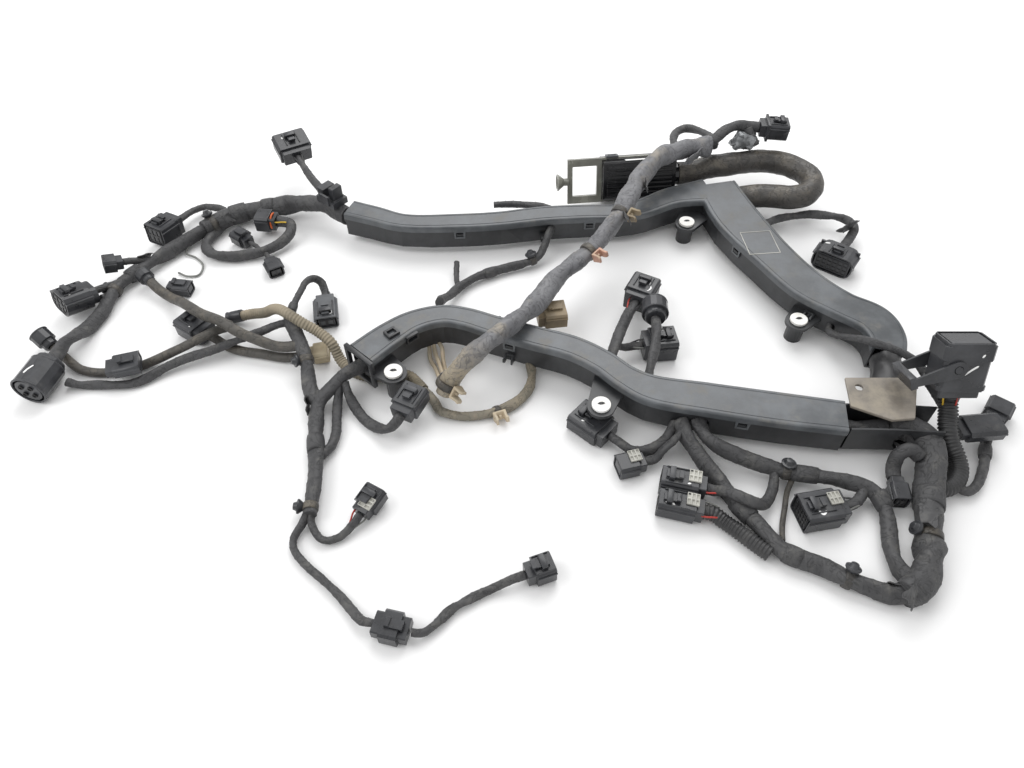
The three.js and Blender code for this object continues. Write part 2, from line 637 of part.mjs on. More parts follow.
const LOOMS = {
  rear_loom: [
    'rearDuctRun', 'leftTrunk', 'leftTrunkMiddle', 'leftTrunkEnd', 'relayBranch', 'coolantBranch', 'leftLoop',
    'sensorBranchA', 'sensorBranchB', 'uprightBranch', 'ovalBranch', 'underBranch', 'thinLoop',
    'cutStub', 'crossBranch', 'strandStub',
  ],
  front_loom: [
    'bundle', 'frontDuctRun', 'greyBranch', 'lowerLead', 'ventLead', 'downTrunk', 'downBranch',
    'squareBranch', 'coilBranchA', 'coilBranchB', 'coilBranchC', 'injectorLeadA', 'injectorLeadB',
  ],
  right_loom: [
    'rightTrunk', 'rightLoop', 'sideCord', 'ringBranch', 'bottomTrunk', 'frontBranch', 'twinBranch',
    'combBranch', 'thinCord', 'earBranch', 'smallBranch', 'bootBranch',
  ],
  diagonal_loom: ['diagonal', 'diagonalEnd', 'topLoop', 'grommetBranch', 'grommetDrop'],
  ecu_loom: ['ecuTrunk'],
  wide_loom: ['wideBranch'],
  cross_lead: ['crossLead'],
  blue_lead: ['blueLead'],
  injector_lead: ['injectorLeadC'],
  beige_loom: ['beigeLoom'],
  left_conduit: ['leftConduit'],
  right_conduit: ['rightConduit'],
};

// Clips on a loom: route, share of its length and roll
const CLIPS = {
  rear_loom: [['leftTrunk', 0.93, 20], ['crossBranch', 0.33, 0], ['crossBranch', 0.76, 0]],
  front_loom: [['downTrunk', 0.9, 90]],
  right_loom: [['frontBranch', 0.47, 0], ['rightTrunk', 0.82, 60]],
  diagonal_loom: [['diagonal', 0.71, 60], ['diagonal', 0.44, 60], ['diagonalEnd', 0.6, 90]],
};

const loomSolids = {};
for (const [name, routes] of Object.entries(LOOMS)) {
  const clips = (CLIPS[name] ?? []).map((place) => clip(...place));
  loomSolids[name] = join(loom(routes), ...clips);
}
loomSolids.right_loom = loomSolids.right_loom.subtract(branch('rightConduit', SEAT_GAP));

// A lump of foil tape on the short branch, and a flag of tape on the wide one
const foil = new THREE.IcosahedronGeometry(1, 1).scale(17, 13, 11).translate(286, 286, 64);
loomSolids.diagonal_loom = loomSolids.diagonal_loom.add(toSolid(foil));
loomSolids.wide_loom = loomSolids.wide_loom.add(block(3, 16, 14, 404, 170, 20));

const LOOM_FINISHES = {
  diagonal_loom: 'dustyTape', left_conduit: 'conduit', beige_loom: 'conduit', right_conduit: 'blackConduit',
};
for (const [name, solid] of Object.entries(loomSolids)) {
  add(name, solid, LOOM_FINISHES[name] ?? 'tape');
}

// Ears: where the pin stands, top of the plate, direction out of the duct, reach and root
const EARS = {
  rear: [
    { name: 'hub_pin', at: [205, 170], top: 24, heading: -2.2, reach: 26, foot: true },
    { name: 'arm_pin', at: [298, 9], top: 24, heading: -2.35, reach: 26, foot: true },
  ],
  front: [
    { name: 'left_pin', at: [-115, -67.5], top: 30, heading: -0.7, reach: 22, foot: true },
    { name: 'middle_pin', at: [83, -111], top: 33, heading: -1.94, reach: 36, foot: false },
  ],
};

// Snap catches: arm, share of its length and side
const CATCHES = {
  rear: [['arm', 0.3, -1], ['arm', 0.3, 1], ['arm', 0.6, -1], ['leg', 3 / 14, -1], ['leg', 3 / 14, 1]],
  front: [['arm', 11 / 26, -1], ['arm', 13 / 26, 1], ['arm', 23 / 26, -1], ['arm', 23 / 26, 1]],
};

function buildDuct(name, duct, trayArms, lidArms, passages) {
  const ears = EARS[name];
  const catches = CATCHES[name].map(([arm, share, side]) => snapCatch(duct[arm], share, side, duct));
  const top = duct.floor + duct.height;
  const outer = trayArms.map((arm) => raised(ribbon(arm, TRAY_INSET), duct.floor, top));
  const innerInset = TRAY_INSET + DUCT_WALL;
  const inner = trayArms.map((arm) => raised(ribbon(arm, innerInset, 3), duct.floor + DUCT_FLOOR, top + 1));
  const plates = ears.map((ear) => fixingEar(ear.at, ear.top, ear.heading, ear.reach));
  const feet = ears.filter((ear) => ear.foot)
    .map((ear) => disc(2 * EAR.bossRadius, ear.top - EAR.thickness / 2, ...ear.at, 0));
  const bores = ears.map((ear) => pinBore(ear.at, -1, ear.top + 1));
  const tray = join(...outer, ...plates)
    .subtract(join(...inner))
    .add(join(...feet, ...catches.map((one) => one.wedge)))
    .subtract(join(...bores, ...passages));
  const lid = ductLid(lidArms, duct)
    .add(join(...catches.map((one) => one.tab)))
    .subtract(join(...catches.map((one) => one.window), ...passages));
  add(`${name}_duct_tray`, tray, 'tray');
  add(`${name}_duct_lid`, lid, 'lid');
  for (const ear of ears) {
    const length = ear.foot ? ear.top - 2 : 12;
    const pose = new THREE.Matrix4().makeTranslation(...ear.at, ear.top + SEAT_GAP);
    add(ear.name, pinSolid(length), 'pin', pose);
  }
}

const grown = (names) => names.map((name) => branch(name, SEAT_GAP));

buildDuct('rear', REAR_DUCT, [REAR_DUCT.arm, REAR_DUCT.leg], [REAR_DUCT.arm, REAR_DUCT.leg], grown([
  'ecuTrunk', 'cutStub', 'crossBranch', 'wideBranch', 'sideCord',
]));
buildDuct('front', FRONT_DUCT, [FRONT_DUCT.arm, FRONT_DUCT.tray], [FRONT_DUCT.arm], grown([
  'coilBranchA', 'coilBranchB', 'rightTrunk', 'bottomTrunk', 'frontBranch', 'earBranch', 'smallBranch',
  'beigeLoom',
]));

// Plugs at the ends of the branches: [name, route, shape, finish, sizes, roll, at the route's start]

const OVAL = { corner: 9.5, cornerSteps: 3 }; // corners of the two plugs that are nearly oval

const PLUGS = [
  ['relay_plug', 'relayBranch', boxPlug, 'plug', { length: 34, width: 40, height: 22 }],
  ['coolant_plug', 'coolantBranch', boxPlug, 'plug', { length: 34, width: 28, height: 26 }],
  ['sensor_plug_a', 'sensorBranchA', boxPlug, 'plug', { length: 24, width: 18, height: 16 }],
  ['sensor_plug_b', 'sensorBranchB', plainPlug, 'plug', { length: 24, width: 18, height: 14 }],
  ['sealed_plug', 'leftLoop', plainPlug, 'plug', { length: 24, width: 22, height: 20 }],
  ['upright_plug', 'uprightBranch', plainPlug, 'plug', { length: 20, width: 18, height: 16 }],
  ['oval_plug', 'ovalBranch', boxPlug, 'plug', { length: 36, width: 34, height: 24, ...OVAL }],
  ['round_plug', 'leftTrunkEnd', roundPlug, 'plug', { length: 40, diameter: 34 }],
  ['cap_plug', 'crossLead', roundPlug, 'plug', { length: 20, diameter: 20, sides: 12 }, 0, true],
  ['elbow_plug', 'blueLead', boxPlug, 'plug', { length: 34, width: 28, height: 22 }, 0, true],
  ['beige_plug', 'blueLead', plainPlug, 'beigePlug', { length: 22, width: 20, height: 14 }],
  ['vent_cap', 'ventLead', roundPlug, 'plug', { length: 16, diameter: 18, sides: 12 }, 0, true],
  ['grey_plug', 'greyBranch', boxPlug, 'greyPlug', { length: 38, width: 24, height: 16 }],
  ['square_plug', 'squareBranch', boxPlug, 'plug', { length: 32, width: 26, height: 20 }],
  ['injector_plug_a', 'injectorLeadA', boxPlug, 'plug', { length: 26, width: 20, height: 18 }],
  ['injector_plug_b', 'injectorLeadC', boxPlug, 'plug', { length: 24, width: 20, height: 20 }],
  ['coil_plug_a', 'coilBranchA', boxPlug, 'plug', { length: 34, width: 30, height: 26 }],
  ['coil_plug_b', 'coilBranchB', roundPlug, 'plug', { length: 24, diameter: 27 }],
  ['coil_plug_c', 'coilBranchC', boxPlug, 'plug', { length: 34, width: 28, height: 26 }],
  ['ear_plug', 'earBranch', boxPlug, 'plug', { length: 40, width: 30, height: 20 }],
  ['small_plug', 'smallBranch', plainPlug, 'plug', { length: 26, width: 20, height: 16 }],
  ['twin_plug_back', 'twinBranch', boxPlug, 'greyPlug', { length: 40, width: 20, height: 22 }, 0, true],
  ['twin_plug_front', 'rightConduit', boxPlug, 'plug', { length: 40, width: 20, height: 20 }, 0, true],
  ['comb_plug', 'combBranch', boxPlug, 'plug', { length: 40, width: 30, height: 22 }],
  ['boot_plug', 'bootBranch', plainPlug, 'plug', { length: 24, width: 16, height: 17 }],
  ['ring_plug', 'ringBranch', plainPlug, 'plug', { length: 26, width: 22, height: 16 }],
  ['wide_plug', 'wideBranch', boxPlug, 'plug', { length: 28, width: 46, height: 26, ...OVAL }],
  ['grommet_plug', 'grommetBranch', boxPlug, 'plug', { length: 34, width: 24, height: 20 }],
];
for (const [name, route, shape, finish, sizes, roll = 0, atStart = false] of PLUGS) {
  hang(name, shape(sizes), finish, route, roll, atStart);
}

// Plugs that lie beside their cord or between two of them
const place = (x, y, z, turn) => new THREE.Matrix4().makeRotationZ(turn).setPosition(x, y, z);

add('flat_plug', boxPlug({ length: 32, width: 24, height: 12 }), 'plug', place(-404, -52, 17.6, 0.3));
add('vent_plug', boxPlug({ length: 26, width: 16, height: 14 }), 'plug', place(-383, 78.8, 7.2, -0.12));
add('paddle_plug', plainPlug({ length: 42, width: 24, height: 14 }), 'plug', place(413, -129, 19.9, 0.1));
add('brown_plug', boxPlug({ length: 30, width: 26, height: 18 }), 'brownPlug', place(26, 12, 27.8, 0.15));

// The coupler between two injector leads has a cord at each end
const COUPLER = { length: 29, width: 24, height: 16 };
const couplerBody = join(
  bar(softRectangle(COUPLER.width, COUPLER.height, 2), PLUG.neckLength, COUPLER.length - PLUG.neckLength),
  bar(softRectangle(COUPLER.width - 5, COUPLER.height - 5, 1), 0, COUPLER.length),
  latchArm(COUPLER.length, COUPLER.height / 2 - 1),
);
hang('coupler_plug', couplerBody, 'plug', 'injectorLeadB');

// The cluster of clip towers on the trunk at the mouth of the rear duct
const TOWER = { length: 30, width: 22, base: 8, height: 12 };
const tower = join(
  block(TOWER.length, TOWER.width, TOWER.base, 0, 0, TOWER.base / 2),
  block(TOWER.length * 0.35, TOWER.width - 4, TOWER.height, -8, 0, TOWER.base + TOWER.height / 2 - 1),
  block(TOWER.length * 0.25, TOWER.width - 8, TOWER.height * 1.4, 8, 1, TOWER.base + TOWER.height * 0.7 - 1),
  block(TOWER.length * 0.5, 3, TOWER.height, 2, -TOWER.width / 2 - 1, TOWER.base + 2),
);
add('clip_tower', tower, 'plug', place(-213, 198, 34.4, -0.7));

// The control unit plug: a long ribbed housing on its edge, with a slide that locks it

const RIBS = { count: 7, width: 3, rise: 1.6, margin: 5 };
const SHROUD = { rim: 3, depth: 10, groove: 2 };
const SLIDE = { thickness: 5, arm: 2.6, reach: 58, frame: 42, gap: 0.4, bar: 6, travel: 22 };
const SLIDE_GUIDE = { rise: 2, width: 2 };
const GRIP = { neck: 9, mouth: 20, length: 13, lip: 1.6, hollow: 5 };

function unitBody() {
  const { length, depth, height, edge } = UNIT;
  let body = bar(softRectangle(depth, height, edge), 0, length);
  const pitch = (height - 2 * RIBS.margin) / RIBS.count;
  for (let i = 0; i < RIBS.count; i += 1) {
    const z = RIBS.margin - height / 2 + pitch * (i + 0.5);
    const y = -depth / 2 - RIBS.rise / 2 + 0.5;
    body = body.add(block(length - 2 * RIBS.margin, RIBS.rise + 1, RIBS.width, length / 2, y, z));
  }
  const inner = [length - 2 * SHROUD.rim, height - 2 * SHROUD.rim];
  body = body.subtract(block(inner[0], 2 * SHROUD.depth, inner[1], length / 2, depth / 2, 0));
  const half = inner[0] / 2 - 1.5 * SHROUD.groove;
  for (const side of [-1, 1]) {
    const x = length / 2 + side * (half + SHROUD.groove) / 2;
    const y = (depth - SHROUD.depth) / 2 - 1;
    body = body.add(block(half, SHROUD.depth, inner[1] - 2 * SHROUD.groove, x, y, 0));
  }
  const guide = SLIDE.thickness / 2 + SLIDE.gap + SLIDE_GUIDE.width / 2;
  for (const side of [-1, 1]) {
    for (const up of [-1, 1]) {
      const z = up * (height / 2 + SLIDE_GUIDE.rise / 2 - 0.5);
      const y = side * guide - 4;
      body = body.add(block(length * 0.7, SLIDE_GUIDE.width, SLIDE_GUIDE.rise + 1, length * 0.4, y, z));
    }
  }
  const boss = disc(UNIT_BOSS.diameter, UNIT_BOSS.length + 1, 0, 0, length - 1, 14);
  return body.add(boss.rotate([0, 90, 0]));
}

// The trumpet-shaped grip that the slide is pulled by, opening along -X
function slideGrip() {
  const { neck, mouth, length, lip, hollow } = GRIP;
  const outline = [
    [0, -1], [neck / 2, -1], [neck / 2, length * 0.35], [mouth / 2, length - lip], [mouth / 2, length],
    [mouth / 2 - lip, length], [neck / 2 - 2, length - hollow], [0, length - hollow],
  ];
  const turned = new THREE.LatheGeometry(outline.map(([x, y]) => new THREE.Vector2(x, y)), 14);
  return toSolid(turned.rotateZ(Math.PI / 2));
}

function unitSlide() {
  const { thickness, arm, reach, frame, gap, bar: rail } = SLIDE;
  const height = UNIT.height + 2 * (gap + arm);
  const plate = block(frame, thickness, height, -gap - frame / 2, 0, 0);
  const window = block(frame - 2 * rail, 3 * thickness, height - 2 * rail - 2 * arm, -gap - frame / 2, 0, 0);
  const arms = [-1, 1].map((up) => block(
    reach + 1,
    thickness,
    arm,
    reach / 2 - 1,
    0,
    up * (UNIT.height / 2 + gap + arm / 2),
  ));
  const grip = slideGrip().translate([-gap - frame, 0, 0]);
  return join(plate, ...arms, grip).subtract(window).translate([0, -4, 0]);
}

const unitPose = new THREE.Matrix4().makeTranslation(...UNIT.at)
  .multiply(new THREE.Matrix4().makeRotationZ(THREE.MathUtils.degToRad(UNIT.yaw)))
  .multiply(new THREE.Matrix4().makeRotationX(THREE.MathUtils.degToRad(-UNIT.lean)))
  .multiply(new THREE.Matrix4().makeTranslation(0, UNIT.depth / 2, UNIT.height / 2));
add('unit_plug_body', unitBody(), 'gloss', unitPose);
add('unit_plug_slide', unitSlide(), 'clear', unitPose);

// The lever plug stands on its cord; its lever swings on two pivots

const LEVER_PLUG = { length: 54, width: 42, thickness: 30, neck: 8, head: 17, headExtra: 4 };
const LEVER = {
  pivot: [30, 9],
  pivotDiameter: 7,
  gap: 0.4,
  radius: 37,
  arm: 8,
  thickness: 2.4,
  bar: 6,
  angle: 110,
};

function leverPlugBody() {
  const { length, width, thickness, neck, head, headExtra } = LEVER_PLUG;
  const body = plugShell({ length, width, height: thickness, corner: 3 });
  const collar = bar(softRectangle(width + headExtra, thickness, 3), length - head, length - 3);
  const hollow = block(head + 4, width - 2, thickness - 2, length - head / 2, 0, 0);
  const ring = collar.subtract(hollow);
  const flange = bar(softRectangle(width + 3, thickness, 3), neck, neck + 4);
  const pivots = disc(
    LEVER.pivotDiameter,
    thickness + 2 * LEVER.thickness + 2,
    ...LEVER.pivot,
    -thickness / 2 - LEVER.thickness - 1,
    12,
  );
  return join(body, ring, flange, pivots);
}

function leverSolid() {
  const { radius, arm, thickness, bar: barSize, pivotDiameter, gap } = LEVER;
  const inner = LEVER_PLUG.thickness / 2 + gap;
  const outline = new THREE.Shape();
  outline.moveTo(0, -arm);
  outline.lineTo(radius, -arm / 2);
  outline.lineTo(radius, arm / 2);
  outline.lineTo(0, arm);
  outline.absarc(0, 0, arm, Math.PI / 2, 1.5 * Math.PI, false);
  const eye = new THREE.Path();
  eye.absarc(0, 0, pivotDiameter / 2 + gap, 0, 2 * Math.PI, true);
  outline.holes.push(eye);
  const arms = [inner, -inner - thickness].map((z) => raised(outline, z, z + thickness));
  const bridge = block(barSize, arm + 4, 2 * (inner + thickness), radius + barSize / 2 - 1, 0, 0);
  return join(...arms, bridge);
}

const leverEnd = routeEnd('rightLoop', true);
const leverPose = poseMatrix(leverEnd.place.addScaledVector(leverEnd.heading, SEAT_GAP), leverEnd.heading);
add('lever_plug_body', leverPlugBody(), 'plug', leverPose);
add('lever_plug_lever', leverSolid(), 'greyPlug', leverPose.clone()
  .multiply(new THREE.Matrix4().makeTranslation(...LEVER.pivot, 0))
  .multiply(new THREE.Matrix4().makeRotationZ(THREE.MathUtils.degToRad(LEVER.angle))));

// The bracket over the open end of the front duct, and the sleeve that crosses to it

const BRACKET = {
  outline: [[308, -122], [312, -88], [374, -88], [376, -99], [362, -136], [341, -138]],
  top: 47,
  thickness: 3,
  flange: [[314, -111.4], [354, -111.4], [354, -114.4], [314, -114.4]],
  flangeFloor: 22,
  hole: [322, -100, 7],
};
const [holeX, holeY, holeSize] = BRACKET.hole;
const bracket = raised(polygon([...BRACKET.outline].reverse()), BRACKET.top - BRACKET.thickness, BRACKET.top)
  .add(raised(polygon([...BRACKET.flange].reverse()), BRACKET.flangeFloor, BRACKET.top - 1))
  .subtract(disc(holeSize, 12, holeX, holeY, BRACKET.top - 6, 14));
add('end_bracket', bracket, 'bracket');

const SLEEVE = [28, [
  [369.8, -47.4, 26], [368.2, -56, 26], [364, -70, 26.5], [357, -86, 26.5], [350, -100, 26],
  [349, -109.2, 26],
]];
add('cross_sleeve', tube(SLEEVE[1], SLEEVE[0]), 'blackConduit');

export default harness;
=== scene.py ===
# %% [markdown]
# # An engine wiring harness, laid out on the floor
#
# The object is the wiring harness of a small engine after it was taken off: two long plastic
# ducts that carry a dozen taped looms, and about thirty-five plugs at the ends of the branches.
# Two things make it hard. It is nearly all one dark grey, so its parts are told apart by
# gloss, dust and texture alone. And most of it is soft: the looms were wound by hand, so
# none of them is straight or evenly thick.
#
# The order follows that. The solids are opened first, then the camera is set, then the soft
# cords are laid along their routes. The ducts, plugs and small fittings come after them, and
# the floor and the light come last.

# %% Open the solids
import math

import bmesh
import bpy
from mathutils import Matrix, Vector, noise


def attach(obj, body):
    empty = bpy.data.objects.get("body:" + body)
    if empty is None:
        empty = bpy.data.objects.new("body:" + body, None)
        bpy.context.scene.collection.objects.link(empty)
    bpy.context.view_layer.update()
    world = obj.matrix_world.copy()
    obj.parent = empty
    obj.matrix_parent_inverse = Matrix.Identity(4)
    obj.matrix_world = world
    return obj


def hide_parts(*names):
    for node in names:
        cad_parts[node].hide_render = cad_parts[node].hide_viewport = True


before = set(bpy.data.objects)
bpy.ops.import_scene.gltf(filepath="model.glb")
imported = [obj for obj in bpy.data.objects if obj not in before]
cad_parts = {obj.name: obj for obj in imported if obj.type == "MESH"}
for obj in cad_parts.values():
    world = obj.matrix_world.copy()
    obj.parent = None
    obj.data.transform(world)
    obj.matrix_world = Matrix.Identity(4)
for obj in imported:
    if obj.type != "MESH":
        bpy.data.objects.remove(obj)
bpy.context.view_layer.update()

# %% [markdown]
# ## The camera
#
# The harness is seen from standing height, looking down by fifty degrees. A wide lens this
# close makes the near end of the harness much larger than the far one, so the lens has to be
# settled before anything is modelled: what looks too thick may only be too near.

# %% Set the camera
camera_data = bpy.data.cameras.new("standing_view")
camera_data.lens = 27.04
camera_data.sensor_width = 36
camera = bpy.data.objects.new("standing_view", camera_data)
bpy.context.collection.objects.link(camera)
camera.location = (0.00533, -0.55531, 0.595)
camera.rotation_euler = (math.radians(40), 0, 0)
bpy.context.scene.camera = camera
bpy.context.scene.view_settings.view_transform = "Standard"
print("camera at", tuple(round(value, 3) for value in camera.location))

# %% [markdown]
# ## Where the cords run
#
# A cord is given by its outer diameter and a few points along its middle line, in
# millimetres. The points were read from the picture: each lies where the cord crosses the
# floor, a duct or another cord, at the height that it must have there. The plan centre is
# the middle of the whole harness, which the origin stands under.

# %% List the routes
PLAN_CENTRE = (-5.33, -0.69)

# Stations along the middle of the ducts: plan point and width
REAR_ARM = [
    (-190, 179, 28), (-160, 168, 27), (-125, 155, 25), (-60, 155, 26), (-14, 159, 26),
    (36, 168, 27), (90, 172, 26), (125, 173, 26), (152, 181, 28), (190, 202, 32), (236, 214, 44),
]
REAR_LEG = [
    (246, 226, 50), (262, 158, 56), (290, 92, 48), (314, 48, 46),
    (343, 18, 40), (368, -2, 42), (374, -24, 38), (370, -46, 33),
]
FRONT_ARM = [
    (-146, -54, 34), (-122, -28, 32), (-99, -9, 28), (-70, 0, 26), (-47, -4, 26), (-18, -16, 27),
    (22, -31, 28), (60, -45, 28), (88, -64, 28), (107, -83, 29), (130, -98, 34),
    (180, -109, 37), (248, -122, 38), (303, -131, 36),
]
# Height of the upper edge of each tray, on which its lid sits
REAR_TOP = 38
FRONT_TOP = 42

